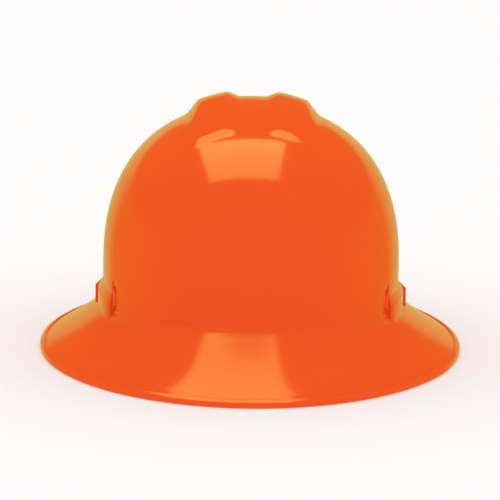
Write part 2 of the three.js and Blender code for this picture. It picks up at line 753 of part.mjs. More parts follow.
// The hook of a strap round its key's bar, as distances in from the wall and heights.
function strapHook() {
  const headSide = PLATE_INNER + TOUCH_GAP + STRAP_THICKNESS / 2;
  const wallSide = PLATE_OUTER - TOUCH_GAP - STRAP_THICKNESS / 2;
  const windowMiddle = (KEY_WINDOW_BOTTOM + KEY_WINDOW_TOP) / 2 - TOUCH_GAP;
  const over = KEY_TOP + TOUCH_GAP + STRAP_THICKNESS / 2;
  return [
    [headSide - STRAP_THICKNESS - TOUCH_GAP, over],
    [wallSide + STRAP_BEND, over],
    [wallSide, over - STRAP_BEND],
    [wallSide, windowMiddle + STRAP_BEND],
    [wallSide + STRAP_BEND, windowMiddle],
    [headSide - STRAP_BEND, windowMiddle],
    [headSide, windowMiddle + STRAP_BEND],
    [headSide + STRAP_LEAN, KEY_TOP + STRAP_STRAIGHT],
  ];
}

function strapPath(frontKey, rearKey, height) {
  const ends = [frontKey, rearKey].map((key) => {
    const frame = wallFrame(key.angle);
    const place = ([inset, z]) => new THREE.Vector3(-inset, 0, z).applyMatrix4(frame);
    const along = new THREE.Vector3(0, 1, 0).transformDirection(frame);
    return { points: strapHook().map(place), along };
  });
  const start = ends[0].points.at(-1);
  const finish = ends[1].points.at(-1);
  const middle = new THREE.Vector3().addVectors(start, finish).multiplyScalar(0.5);
  const half = start.distanceTo(finish) / 2;
  const direction = new THREE.Vector3().subVectors(finish, start).normalize();
  const level = new THREE.Vector3(-direction.y, direction.x, 0);
  const power = 2 / CROWN_STRAP_EXPONENT;
  const stations = [];
  const alongAt = (end) => (end.along.dot(level) < 0 ? end.along.clone().negate() : end.along);
  ends[0].points.forEach((point) => stations.push({ point, along: alongAt(ends[0]) }));
  for (let s = 1; s < CROWN_STRAP_STEPS; s += 1) {
    const turn = (s / CROWN_STRAP_STEPS) * Math.PI;
    const reach = -Math.sign(Math.cos(turn)) * Math.abs(Math.cos(turn)) ** power * half;
    const rise = (height - start.z) * Math.sin(turn) ** power;
    const point = middle.clone().addScaledVector(direction, reach).setZ(start.z + rise);
    const fromEnd = Math.min(s, CROWN_STRAP_STEPS - s) / CROWN_STRAP_STEPS;
    const twist = Math.max(0, 1 - STRAP_TWIST_ENDS * fromEnd);
    const end = s * 2 < CROWN_STRAP_STEPS ? ends[0] : ends[1];
    stations.push({ point, along: level.clone().lerp(alongAt(end), twist).normalize() });
  }
  ends[1].points.reverse().forEach((point) => stations.push({ point, along: alongAt(ends[1]) }));
  return stations;
}

function strapSolid(stations) {
  const sections = stations.map(({ point, along }, k) => {
    const before = stations[Math.max(0, k - 1)].point;
    const after = stations[Math.min(stations.length - 1, k + 1)].point;
    const arriving = new THREE.Vector3().subVectors(point, before).normalize();
    const leaving = new THREE.Vector3().subVectors(after, point).normalize();
    const travel = arriving.add(leaving).normalize();
    const across = new THREE.Vector3().crossVectors(travel, along).normalize();
    const side = along.clone().multiplyScalar(STRAP_WIDTH / 2);
    const thick = across.multiplyScalar(STRAP_THICKNESS / 2);
    return [
      point.clone().add(side).add(thick),
      point.clone().sub(side).add(thick),
      point.clone().sub(side).sub(thick),
      point.clone().add(side).sub(thick),
    ];
  });
  return loft(sections);
}

function buildCrownStraps() {
  const lift = STRAP_THICKNESS + STRAP_CROSSING_GAP;
  const lower = strapPath(KEYS[0], KEYS[3], CROWN_STRAP_HEIGHT - lift);
  const upper = strapPath(KEYS[1], KEYS[2], CROWN_STRAP_HEIGHT);
  addPiece("crown_strap_a", strapSolid(lower), "webbing");
  addPiece("crown_strap_b", strapSolid(upper), "webbing");
}

// ---- Headband and pads ----

// A strip that follows the headband's plan, from one polar angle to another.
function bandStrip(from, to, steps, inner, outer, bottom, top) {
  const sections = [];
  for (let s = 0; s <= steps; s += 1) {
    const angle = THREE.MathUtils.lerp(from, to, s / steps);
    const middle = polar(bandRadius(angle), angle, 0);
    const normal = planNormal(bandRadius, angle);
    const at = (out, z) => middle.clone().addScaledVector(normal, out).setZ(z);
    sections.push([at(inner, bottom), at(outer, bottom), at(outer, top), at(inner, top)]);
  }
  return loft(sections);
}

function buildHeadband() {
  const half = BAND_THICKNESS / 2;
  const from = degrees(BAND_END_ANGLE);
  const to = -Math.PI - degrees(BAND_END_ANGLE);
  let band = bandStrip(from, to, BAND_STEPS, -half, half, BAND_BOTTOM, BAND_TOP);
  const slotTop = STUD_HEIGHT + STUD_RADIUS + FIT_GAP;
  const slotBottom = STUD_HEIGHT - HEIGHT_TRAVEL - STUD_RADIUS - FIT_GAP;
  const slotHalf = STUD_RADIUS + FIT_GAP;
  for (const key of KEYS) {
    const inset = bandInset(key.angle);
    const frame = wallFrame(key.angle).toArray();
    const foot = (BAND_BOTTOM + BAND_TOP) / 2;
    const tab = keyBlock(inset + half, inset - half, TAB_HALF_WIDTH, foot, slotTop + slotHalf);
    const cut = half + CUT_MARGIN;
    const slot = keyBlock(inset + cut, inset - cut, slotHalf, slotBottom, slotTop);
    band = band.add(tab.transform(frame)).subtract(slot.transform(frame));
  }
  addPiece("headband", band, "band");
}

function buildBrowPad() {
  const outer = -BAND_THICKNESS / 2 - TOUCH_GAP;
  const from = -Math.PI / 2 + degrees(BROW_PAD_HALF_ANGLE);
  const to = -Math.PI / 2 - degrees(BROW_PAD_HALF_ANGLE);
  const bottom = BAND_BOTTOM - BROW_PAD_OVERHANG;
  const top = BAND_TOP + BROW_PAD_OVERHANG;
  const inner = outer - BROW_PAD_THICKNESS;
  addPiece("brow_pad", bandStrip(from, to, BROW_PAD_STEPS, inner, outer, bottom, top), "foam");
}

// ---- Nape straps and ratchet ----

// A point by its angle from straight back, round the nape's centre.
function napePoint(radius, angle, z) {
  return new THREE.Vector3(radius * Math.sin(angle), NAPE_CENTRE + radius * Math.cos(angle), z);
}

function napeBar(from, to, steps, outline) {
  const sections = [];
  for (let s = 0; s <= steps; s += 1) {
    const angle = THREE.MathUtils.lerp(from, to, s / steps);
    sections.push(outline.map(([radius, z]) => napePoint(radius, angle, z)));
  }
  return loft(sections);
}

function rectangle(inner, outer, bottom, top) {
  return [[inner, bottom], [outer, bottom], [outer, top], [inner, top]];
}

// The long slot of a nape strap, with teeth along its lower edge; up is 1, or -1 for teeth above.
function rackSlot(radius, up) {
  const sections = [];
  const end = degrees(RACK_SLOT_END) * radius;
  const count = Math.floor(end / TOOTH_PITCH);
  const root = -PINION_RADIUS - TOOTH_DEDENDUM;
  const tip = -PINION_RADIUS + RACK_ADDENDUM;
  const far = PINION_RADIUS + TOOTH_ADDENDUM + FIT_GAP;
  const halfRoot = (TOOTH_PITCH * (TOOTH_FILL + TOOTH_ROOT_SPREAD)) / 2;
  const halfTip = (TOOTH_PITCH * (TOOTH_FILL - TOOTH_TIP_TAPER)) / 2;
  const depth = BAND_THICKNESS;
  const addSection = (along, low) => {
    const angle = along / radius;
    const heights = [low * up, far * up].map((z) => RATCHET_HEIGHT + z);
    const outline = rectangle(radius - depth, radius + depth, heights[0], heights[1]);
    sections.push(outline.map(([r, z]) => napePoint(r, angle, z)));
  };
  addSection(-end, root);
  for (let tooth = -count + 1; tooth < count; tooth += 1) {
    const middle = (tooth + 0.5) * TOOTH_PITCH;
    addSection(middle - halfRoot, root);
    addSection(middle - halfTip, tip);
    addSection(middle + halfTip, tip);
    addSection(middle + halfRoot, root);
  }
  addSection(end, root);
  return loft(sections);
}

function buildNapeStrap(name, radius, side) {
  const half = BAND_THICKNESS / 2;
  const bottom = RATCHET_HEIGHT - NAPE_STRAP_HALF_HEIGHT;
  const top = RATCHET_HEIGHT + NAPE_STRAP_HALF_HEIGHT;
  const outline = rectangle(radius - half, radius + half, bottom, top);
  const rackEnd = -side * degrees(NAPE_RACK_END);
  const lapEnd = side * degrees(NAPE_LAP_END);
  const bar = napeBar(rackEnd, lapEnd, NAPE_STRAP_STEPS, outline);
  addPiece(name, bar.subtract(rackSlot(radius, side)), "band");
}

function gearOutline() {
  const outline = [];
  const root = PINION_RADIUS - TOOTH_ADDENDUM;
  const tip = PINION_RADIUS + TOOTH_ADDENDUM;
  const step = TAU / PINION_TEETH;
  const halfRoot = (step * (TOOTH_FILL + TOOTH_ROOT_SPREAD)) / 2;
  const halfTip = (step * (TOOTH_FILL - TOOTH_TIP_TAPER)) / 2;
  for (let tooth = 0; tooth < PINION_TEETH; tooth += 1) {
    const middle = tooth * step;
    const corners = [[root, -halfRoot], [tip, -halfTip], [tip, halfTip], [root, halfRoot]];
    for (const [radius, offset] of corners) {
      outline.push([radius * Math.cos(middle + offset), radius * Math.sin(middle + offset)]);
    }
  }
  return outline;
}

function buildPinion() {
  const gearFront = NAPE_CENTRE + COVER_OUTER + FIT_GAP;
  const gearRear = NAPE_CENTRE + HOUSING_INNER - FIT_GAP;
  const pilotFront = NAPE_CENTRE + COVER_INNER + FIT_GAP;
  const shaftRear = KNOB_CAVITY_END - FIT_GAP;
  const shaft = barAlongY(SHAFT_RADIUS, gearRear - OVERLAP, shaftRear);
  const pilot = barAlongY(PILOT_RADIUS, pilotFront, gearFront + OVERLAP, SMALL_SIDES);
  const threadFront = shaftRear - THREAD_DEPTH;
  const bore = barAlongY(SCREW_RADIUS + TOUCH_GAP, threadFront, shaftRear + CUT_MARGIN, SMALL_SIDES);
  const pinion = plateAlongY(gearOutline(), gearFront, gearRear).add(shaft).add(pilot).subtract(bore);
  addPiece("ratchet_pinion", raised(pinion), "acetal");
}

function screwSites() {
  const sites = [];
  for (const side of [-1, 1]) {
    for (const height of [-SCREW_OFFSET, SCREW_OFFSET]) {
      const angle = side * degrees(SCREW_ANGLE);
      const frame = new THREE.Matrix4().makeRotationZ(-angle);
      frame.setPosition(0, NAPE_CENTRE, RATCHET_HEIGHT + height);
      sites.push(frame);
    }
  }
  return sites;
}

function clickRing() {
  const root = FLOOR_Y - HOUSING_WALL - CUT_MARGIN;
  const outer = barAlongY(CLICK_RING_OUTER, root, FLOOR_Y + CLICK_RING_DEPTH, FINE_SIDES);
  const outline = [];
  const step = TAU / CLICK_TEETH;
  for (let tooth = 0; tooth < CLICK_TEETH; tooth += 1) {
    const corners = [[CLICK_RING_ROOT, tooth * step], [CLICK_RING_INNER, tooth * step + step / 2]];
    for (const [radius, angle] of corners) {
      outline.push([radius * Math.cos(angle), radius * Math.sin(angle)]);
    }
  }
  return outer.subtract(plateAlongY(outline, FLOOR_Y, FLOOR_Y + CLICK_RING_DEPTH + CUT_MARGIN));
}

function buildHousing() {
  const channel = [
    [FLANGE_INNER, -HOUSING_HALF_HEIGHT],
    [HOUSING_OUTER, -HOUSING_HALF_HEIGHT],
    [HOUSING_OUTER, HOUSING_HALF_HEIGHT],
    [FLANGE_INNER, HOUSING_HALF_HEIGHT],
    [FLANGE_INNER, GUIDE_HALF_HEIGHT],
    [HOUSING_INNER, GUIDE_HALF_HEIGHT],
    [HOUSING_INNER, -GUIDE_HALF_HEIGHT],
    [FLANGE_INNER, -GUIDE_HALF_HEIGHT],
  ];
  const limit = degrees(HOUSING_HALF_ANGLE);
  const outline = channel.map(([radius, z]) => [radius, z + RATCHET_HEIGHT]);
  const reach = rectangle(OVERLAP, HOUSING_INNER, -GUIDE_HALF_HEIGHT, GUIDE_HALF_HEIGHT);
  const strapSpace = napeBar(-limit, limit, HOUSING_STEPS, reach);
  let housing = napeBar(-limit, limit, HOUSING_STEPS, outline);
  housing = housing.add(raised(clickRing().subtract(strapSpace)));
  const shaftHole = barAlongY(SHAFT_RADIUS + FIT_GAP, NAPE_CENTRE + NAPE_INNER, KNOB_REAR);
  housing = housing.subtract(raised(shaftHole));
  for (const site of screwSites()) {
    const bore = barAlongY(SCREW_RADIUS + TOUCH_GAP, 0, FLANGE_INNER + SCREW_BORE_DEPTH, SMALL_SIDES);
    housing = housing.subtract(bore.transform(site.toArray()));
  }
  addPiece("ratchet_housing", housing, "moulding");
}

function buildCover() {
  const limit = degrees(HOUSING_HALF_ANGLE);
  const bottom = RATCHET_HEIGHT - HOUSING_HALF_HEIGHT;
  const top = RATCHET_HEIGHT + HOUSING_HALF_HEIGHT;
  let cover = napeBar(-limit, limit, HOUSING_STEPS, rectangle(COVER_INNER, COVER_OUTER, bottom, top));
  const pilot = barAlongY(PILOT_RADIUS + FIT_GAP, NAPE_CENTRE, NAPE_CENTRE + NAPE_RADIUS);
  cover = cover.subtract(raised(pilot));
  for (const site of screwSites()) {
    const bore = barAlongY(SCREW_RADIUS + TOUCH_GAP, 0, NAPE_RADIUS, SMALL_SIDES);
    cover = cover.subtract(bore.transform(site.toArray()));
  }
  addPiece("ratchet_cover", cover, "moulding");
}

// A pan-head screw along +Y with a cross recess; its head's seat is at y = 0.
function screwSolid(radius, headRadius, headHeight, length) {
  const profile = [
    [0, -headHeight],
    [headRadius * HEAD_CROWN_SHARE, -headHeight],
    [headRadius, -headHeight / 2],
    [headRadius, 0],
    [radius, 0],
    [radius, length - radius],
    [radius * SCREW_POINT_SHARE, length],
    [0, length],
  ];
  const points = profile.map(([x, y]) => new THREE.Vector2(x, y));
  const body = facingOut(new THREE.LatheGeometry(points, SCREW_SIDES));
  const arm = headRadius * RECESS_ARM_SHARE;
  const thin = headRadius * RECESS_WIDTH_SHARE;
  const floor = headHeight * (RECESS_DEPTH_SHARE - 1);
  const mouth = -headHeight - CUT_MARGIN;
  const across = block(-arm, arm, mouth, floor, -thin, thin);
  const upright = block(-thin, thin, mouth, floor, -arm, arm);
  return body.subtract(across.add(upright));
}

function buildCoverScrews() {
  screwSites().forEach((site, k) => {
    const screw = screwSolid(SCREW_RADIUS, SCREW_HEAD_RADIUS, SCREW_HEAD_HEIGHT, SCREW_LENGTH);
    const seat = new THREE.Matrix4().makeTranslation(0, COVER_INNER - TOUCH_GAP, 0);
    addPiece(`cover_screw_${k + 1}`, screw, "steel", site.clone().multiply(seat));
  });
}

function buildNapePad() {
  const outer = COVER_INNER - TOUCH_GAP;
  const half = NAPE_STRAP_HALF_HEIGHT;
  const inner = outer - NAPE_PAD_THICKNESS;
  const outline = rectangle(inner, outer, RATCHET_HEIGHT - half, RATCHET_HEIGHT + half);
  const limit = degrees(HOUSING_HALF_ANGLE - NAPE_PAD_INSET_ANGLE);
  addPiece("nape_pad", napeBar(-limit, limit, NAPE_PAD_STEPS, outline), "foam");
}

function knobOutline() {
  const outline = [];
  const steps = KNOB_LOBES * KNOB_LOBE_STEPS;
  for (let s = 0; s < steps; s += 1) {
    const angle = (s / steps) * TAU;
    const radius = KNOB_RADIUS - (KNOB_LOBE_DEPTH * (1 - Math.cos(angle * KNOB_LOBES))) / 2;
    outline.push([radius * Math.cos(angle), radius * Math.sin(angle)]);
  }
  return outline;
}

function buildKnob() {
  const mouth = KNOB_FRONT - CUT_MARGIN;
  const recess = KNOB_CAVITY_END + WEB_THICKNESS;
  const headSpace = WASHER_RADIUS + FIT_GAP + TOUCH_GAP;
  let knob = plateAlongY(knobOutline(), KNOB_FRONT, KNOB_REAR);
  knob = knob.subtract(barAlongY(CLICK_RING_OUTER + 2 * FIT_GAP, mouth, KNOB_CAVITY_END, FINE_SIDES));
  knob = knob.add(barAlongY(HUB_RADIUS, KNOB_FRONT, KNOB_CAVITY_END + OVERLAP));
  knob = knob.subtract(barAlongY(SHAFT_RADIUS + TOUCH_GAP, mouth, KNOB_CAVITY_END));
  knob = knob.subtract(barAlongY(SCREW_RADIUS + FIT_GAP + TOUCH_GAP, mouth, KNOB_REAR, SMALL_SIDES));
  knob = knob.subtract(barAlongY(headSpace, recess, KNOB_REAR + CUT_MARGIN));
  addPiece("ratchet_knob", raised(knob), "moulding");
}

function buildKnobFasteners() {
  const front = KNOB_CAVITY_END + WEB_THICKNESS + TOUCH_GAP;
  const rear = front + WASHER_THICKNESS;
  const hole = barAlongY(SCREW_RADIUS + TOUCH_GAP, front - CUT_MARGIN, rear + CUT_MARGIN, SMALL_SIDES);
  const washer = barAlongY(WASHER_RADIUS, front, rear).subtract(hole);
  addPiece("knob_washer", raised(washer), "steel");
  const place = new THREE.Matrix4().makeRotationZ(Math.PI);
  place.setPosition(0, rear + TOUCH_GAP, RATCHET_HEIGHT);
  const screw = screwSolid(SCREW_RADIUS, KNOB_SCREW_HEAD_RADIUS, KNOB_SCREW_HEAD_HEIGHT, KNOB_SCREW_LENGTH);
  addPiece("knob_screw", screw, "steel", place);
}

// One curved arm of the click spring, ending in the nose that rests between two teeth.
function springArm(start) {
  const inner = HUB_RADIUS + SPRING_ARM_START;
  const outer = CLICK_RING_INNER - SPRING_ARM_CLEARANCE;
  const sweep = degrees(SPRING_SWEEP);
  const outline = [];
  const push = (radius, angle) => {
    const turned = start + angle;
    outline.push([radius * Math.cos(turned), radius * Math.sin(turned)]);
  };
  for (let s = 0; s <= SPRING_ARM_STEPS; s += 1) {
    const share = s / SPRING_ARM_STEPS;
    push(THREE.MathUtils.lerp(inner, outer - SPRING_TIP_WIDTH, share), sweep * share);
  }
  push(outer - SPRING_TIP_WIDTH, sweep + SPRING_NOSE_SPREAD);
  push(CLICK_RING_ROOT - FIT_GAP, sweep + SPRING_NOSE_LEAD);
  for (let s = SPRING_ARM_STEPS; s >= 0; s -= 1) {
    const share = s / SPRING_ARM_STEPS;
    push(THREE.MathUtils.lerp(inner + SPRING_ARM_WIDTH, outer, share), sweep * share - SPRING_ARM_LAG);
  }
  return plateAlongY(outline, KNOB_FRONT, KNOB_FRONT + SPRING_THICKNESS);
}

function buildClickSpring() {
  const rear = KNOB_FRONT + SPRING_THICKNESS;
  const bore = barAlongY(HUB_RADIUS + TOUCH_GAP, KNOB_FRONT - CUT_MARGIN, rear + CUT_MARGIN);
  const step = TAU / CLICK_TEETH;
  const sweep = degrees(SPRING_SWEEP);
  const nose = Math.round(sweep / step) * step;
  let spring = barAlongY(HUB_RADIUS + SPRING_COLLAR, KNOB_FRONT, rear);
  for (let arm = 0; arm < SPRING_ARMS; arm += 1) {
    spring = spring.add(springArm((arm / SPRING_ARMS) * TAU + nose - sweep - SPRING_NOSE_LEAD));
  }
  addPiece("click_spring", raised(spring.subtract(bore)), "acetal");
}

buildShell();
buildKeys();
buildCrownStraps();
buildHeadband();
buildBrowPad();
buildNapeStrap("nape_strap_left", LEFT_RADIUS, 1);
buildNapeStrap("nape_strap_right", RIGHT_RADIUS, -1);
buildHousing();
buildCover();
buildCoverScrews();
buildNapePad();
buildPinion();
buildClickSpring();
buildKnob();
buildKnobFasteners();

export default helmet;
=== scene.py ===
import math

import bmesh
import bpy
from mathutils import Matrix, Vector


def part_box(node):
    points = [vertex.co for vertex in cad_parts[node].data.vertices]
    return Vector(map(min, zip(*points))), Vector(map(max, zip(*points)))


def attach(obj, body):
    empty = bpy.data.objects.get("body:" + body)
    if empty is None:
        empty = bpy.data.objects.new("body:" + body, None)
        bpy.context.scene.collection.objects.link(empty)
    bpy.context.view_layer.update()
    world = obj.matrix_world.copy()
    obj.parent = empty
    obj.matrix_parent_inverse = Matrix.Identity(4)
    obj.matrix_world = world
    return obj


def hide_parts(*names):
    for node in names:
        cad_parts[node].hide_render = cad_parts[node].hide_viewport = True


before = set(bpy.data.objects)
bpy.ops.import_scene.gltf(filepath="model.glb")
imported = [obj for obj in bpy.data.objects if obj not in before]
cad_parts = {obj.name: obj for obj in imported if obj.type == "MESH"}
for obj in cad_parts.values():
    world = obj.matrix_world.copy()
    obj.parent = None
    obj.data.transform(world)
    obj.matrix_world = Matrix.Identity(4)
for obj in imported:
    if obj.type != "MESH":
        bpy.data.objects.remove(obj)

bl_info = {
    "name": "Full Brim Helmet",
    "version": (1, 0, 0),
    "blender": (4, 5, 0),
    "location": "3D View > Sidebar > Helmet",
    "description": "Builds the finished shell, suspension and ratchet of a full-brim safety helmet",
    "category": "Object",
}

MM = 0.001
TAU = 2 * math.pi
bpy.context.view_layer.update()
SHELL_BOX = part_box("shell")

# ---- Shell: the sizes of the moulded part, in metres ----
DOME_HALF_WIDTH = 101.6 * MM
DOME_FRONT_LENGTH = 122 * MM
DOME_REAR_LENGTH = 126 * MM
DOME_PLAN_EXPONENT = 2.2
DOME_PROFILE_EXPONENT = 2.34
DOME_HEIGHT = 164.7 * MM
DOME_SHOULDER_HEIGHT = 59.6 * MM
BRIM_EDGE_HEIGHT = 2.6 * MM
BRIM_INNER_SLOPE = math.tan(math.radians(40))
BRIM_OUTER_SLOPE = math.tan(math.radians(26))
BRIM_FILLET_RADIUS = 12 * MM
BRIM_FRONT_INNER_SLOPE = math.tan(math.radians(42))
BRIM_FRONT_OUTER_SLOPE = math.tan(math.radians(24))
BRIM_FRONT_BEND = 2.5
BRIM_FRONT_FILLET_RADIUS = 6 * MM
BRIM_FRONT_START = 0.72
BRIM_FRONT_FULL = 0.94
SHELL_WALL = 2.4 * MM
BEAD_WIDTH = 3.6 * MM
BEAD_RISE = 0.8 * MM
RIDGE_HALF_SPREAD = 47.5 * MM
RIDGE_SIDE_STEP = 11 * MM
RIDGE_PEAK_OFFSET = 19 * MM
RIDGE_RISE = 9.4 * MM
RIDGE_FALL = 0.085
RIDGE_CREST_ROUNDING = 7 * MM
RIDGE_VALLEY_DEPTH = 3.9 * MM
RIDGE_VALLEY_STEP = 11 * MM
RIDGE_FRONT_END = 58 * MM
RIDGE_REAR_END = 80 * MM
RIDGE_SIDE_EXTRA = 6 * MM
RIDGE_REAR_STEP = 34 * MM
RIDGE_FRONT_RAMP = 90 * MM
RIDGE_FRONT_STEP = 4 * MM
RIDGE_STEP_SHARE = 0.2

# ---- Side panels, slot housings and scoops ----
PANEL_RISE = 3.6 * MM
PANEL_FRONT_RISE = 2.4 * MM
PANEL_FRONT_ANGLE = math.radians(31)
PANEL_REAR_ANGLE = math.radians(-3)
PANEL_TOP = 41 * MM
PANEL_FRONT_TOP = 41 * MM
PANEL_CHAMFER = 6 * MM
HOUSING_START = 4 * MM
HOUSING_LENGTH = 30 * MM
HOUSING_FACE_X = 107.7 * MM
HOUSING_TAPER = 3.2 * MM
HOUSING_TOP = 39.5 * MM
HOUSING_REAR_TOP = 34.5 * MM
HOUSING_CHAMFER = 6.5 * MM
SLOT_WIDTH = 26 * MM
SLOT_THICKNESS = 5.5 * MM
SLOT_OUTER_WALL = 2.2 * MM
SLOT_TOP = 38 * MM
SLOT_REAR_TOP = 35 * MM
SLOT_INNER_WALL = 2.4 * MM
SCOOP_ANGLE = math.radians(36)
SCOOP_WIDTH = 18 * MM
SCOOP_HEIGHT = 23 * MM
SCOOP_MIDDLE = 44 * MM
SCOOP_LEDGE = 3.2 * MM
SCOOP_LEDGE_DEPTH = 0.9 * MM
SCOOP_DEPTH = 1.6 * MM
SCOOP_LIP = 0.7 * MM

# ---- Keys and sockets ----
KEY_ANGLES = {
    "front_left": -math.radians(40),
    "front_right": math.pi + math.radians(40),
    "rear_left": math.radians(45),
    "rear_right": math.pi - math.radians(45),
}
SOCKET_BOTTOM = 32.4 * MM
SOCKET_TOP = 53 * MM
SOCKET_HALF_WIDTH = 13 * MM
SOCKET_DEPTH = 9.4 * MM
SOCKET_INNER_WALL = 1.6 * MM
BLADE_THICKNESS = 2.4 * MM
BLADE_HALF_WIDTH = 9 * MM
BLADE_TOP = 48 * MM
FIT_GAP = 0.4 * MM
TOUCH_GAP = 0.3 * MM
KEY_PLATE_THICKNESS = 2.6 * MM
KEY_TOP = 62.4 * MM
KEY_WINDOW_BOTTOM = 55.2 * MM
KEY_WINDOW_TOP = 58.8 * MM

# ---- Straps, headband and pads ----
STRAP_WIDTH = 19 * MM
STRAP_THICKNESS = 1.2 * MM
CROWN_STRAP_HEIGHT = 125 * MM
CROWN_STRAP_EXPONENT = 2.25
STRAP_CROSSING_GAP = 0.4 * MM
BAND_HALF_WIDTH = 83 * MM
BAND_HALF_LENGTH = 100 * MM
BAND_PLAN_EXPONENT = 2.2
BAND_THICKNESS = 1.6 * MM
BAND_BOTTOM = 11 * MM
BAND_TOP = 35 * MM
BAND_END_ANGLE = math.radians(60)
BROW_PAD_THICKNESS = 5 * MM
BROW_PAD_HALF_ANGLE = math.radians(58)
NAPE_PAD_THICKNESS = 4 * MM
TAB_HALF_WIDTH = 8 * MM
HEIGHT_TRAVEL = 10 * MM
STUD_RADIUS = 2.2 * MM
STUD_HEIGHT = 49.9 * MM
STRAP_BEND = 0.9 * MM
STRAP_LEAN = 0.2 * MM
STRAP_STRAIGHT = 4 * MM
NAPE_RADIUS = 77 * MM
NAPE_CENTRE = BAND_HALF_LENGTH - NAPE_RADIUS
COVER_INNER = 70.6 * MM
NAPE_PAD_HALF_ANGLE = math.radians(26)
NAPE_PAD_HALF_HEIGHT = 11 * MM
RATCHET_HEIGHT = 24 * MM
PLATE_OUTER = SOCKET_DEPTH + FIT_GAP
PLATE_INNER = PLATE_OUTER + KEY_PLATE_THICKNESS

# ---- Knob and screws ----
KNOB_LOBES = 12
KNOB_LOBE_DEPTH = 0.9 * MM
KNOB_END_WALL = 4.2 * MM
KNOB_EDGE = 1.6 * MM
KNOB_CAVITY_RADIUS = 18.6 * MM
HUB_RADIUS = 5.6 * MM
SHAFT_BORE_RADIUS = 3.3 * MM
SCREW_BORE_RADIUS = 1.8 * MM
HEAD_SPACE_RADIUS = 3.9 * MM
WEB_THICKNESS = 1.2 * MM
SCREW_RADIUS = 1.1 * MM
SCREW_HEAD_RADIUS = 2.2 * MM
SCREW_HEAD_HEIGHT = 1.4 * MM
SCREW_LENGTH = 6.2 * MM
SCREW_ANGLE = math.radians(26)
SCREW_OFFSET = 14.2 * MM


# ---- Plan outlines ----

def plan_radius(angle, half_width, front, rear, exponent):
    half_length = front if math.sin(angle) < 0 else rear
    across = abs(math.cos(angle)) / half_width
    along = abs(math.sin(angle)) / half_length
    return (across**exponent + along**exponent) ** (-1 / exponent)


def dome_radius(angle):
    return plan_radius(angle, DOME_HALF_WIDTH, DOME_FRONT_LENGTH, DOME_REAR_LENGTH, DOME_PLAN_EXPONENT)


def brim_radius(angle):
    half_width = SHELL_BOX[1].x
    half_length = SHELL_BOX[1].y
    return plan_radius(angle, half_width, half_length, half_length, 2)


def band_radius(angle):
    return plan_radius(angle, BAND_HALF_WIDTH, BAND_HALF_LENGTH, BAND_HALF_LENGTH, BAND_PLAN_EXPONENT)


def polar(radius, angle, z=0.0):
    return Vector((radius * math.cos(angle), radius * math.sin(angle), z))


def plan_normal(radius_at, angle):
    """The unit outward normal of a plan outline at a polar angle."""
    step = 1e-4
    tangent = polar(radius_at(angle + step), angle + step) - polar(radius_at(angle - step), angle - step)
    return Vector((tangent.y, -tangent.x, 0)).normalized()


def wall_frame(angle):
    """A frame on the dome wall: x out of the wall, y along it, z up."""
    normal = plan_normal(dome_radius, angle)
    turn = Matrix.Rotation(math.atan2(normal.y, normal.x), 4, "Z")
    return Matrix.Translation(polar(dome_radius(angle), angle)) @ turn


# ---- Mesh helpers ----

def mesh_object(name, verts, faces):
    mesh = bpy.data.meshes.new(name)
    mesh.from_pydata([tuple(v) for v in verts], [], faces)
    mesh.validate()
    obj = bpy.data.objects.new(name, mesh)
    bpy.context.scene.collection.objects.link(obj)
    return obj


def face_outwards(obj):
    """Turns the faces of one closed body so that they point outwards."""
    work = bmesh.new()
    work.from_mesh(obj.data)
    bmesh.ops.recalc_face_normals(work, faces=work.faces)
    if work.calc_volume(signed=True) < 0:
        bmesh.ops.reverse_faces(work, faces=work.faces)
    work.to_mesh(obj.data)
    work.free()
    return obj


def loft(name, sections):
    """A closed body through sections that each have the same number of points."""
    count = len(sections[0])
    verts = [p for section in sections for p in section]
    faces = []
    for s in range(len(sections) - 1):
        here, after = s * count, (s + 1) * count
        for k in range(count):
            n = (k + 1) % count
            faces.append((here + k, here + n, after + n, after + k))
    last = (len(sections) - 1) * count
    faces.append(tuple(reversed(range(count))))
    faces.append(tuple(range(last, last + count)))
    return face_outwards(mesh_object(name, verts, faces))


def block(name, low, high, matrix=None):
    """A box between two corners, placed by a matrix."""
    (x0, y0, _), (x1, y1, _) = low, high
    square = ((x0, y0), (x1, y0), (x1, y1), (x0, y1))
    corners = [Vector((x, y, z)) for z in (low[2], high[2]) for x, y in square]
    faces = [(0, 3, 2, 1), (4, 5, 6, 7), (0, 1, 5, 4), (1, 2, 6, 5), (2, 3, 7, 6), (3, 0, 4, 7)]
    obj = mesh_object(name, corners, faces)
    if matrix is not None:
        obj.data.transform(matrix)
    return obj


def bake(obj):
    """Applies an object's modifiers to a plain mesh."""
    graph = bpy.context.evaluated_depsgraph_get()
    result = bpy.data.meshes.new_from_object(obj.evaluated_get(graph))
    old = obj.data
    obj.modifiers.clear()
    obj.data = result
    result.name = obj.name
    bpy.data.meshes.remove(old)
    return obj


def bevel(obj, width, segments=3, limit=math.radians(40)):
    modifier = obj.modifiers.new("edge rounding", "BEVEL")
    modifier.width = width
    modifier.segments = segments
    modifier.limit_method = "ANGLE"
    modifier.angle_limit = limit
    modifier.use_clamp_overlap = True
    modifier.harden_normals = False
    return bake(obj)


def boolean(obj, tool, operation):
    """Joins or cuts obj with tool, which is used up."""
    modifier = obj.modifiers.new("boolean", "BOOLEAN")
    modifier.object = tool
    modifier.operation = operation
    modifier.solver = "EXACT"
    bake(obj)
    bpy.data.objects.remove(tool)
    return obj


def smooth(obj, limit=math.radians(32)):
    obj.data.shade_smooth()
    obj.data.set_sharp_from_angle(angle=limit)
    return obj


def mirrored_copy(obj):
    """A copy on the wearer's other side, with its faces still pointing out."""
    twin = obj.copy()
    twin.data = obj.data.copy()
    bpy.context.scene.collection.objects.link(twin)
    twin.data.transform(Matrix.Scale(-1, 4, (1, 0, 0)))
    twin.data.flip_normals()
    return twin


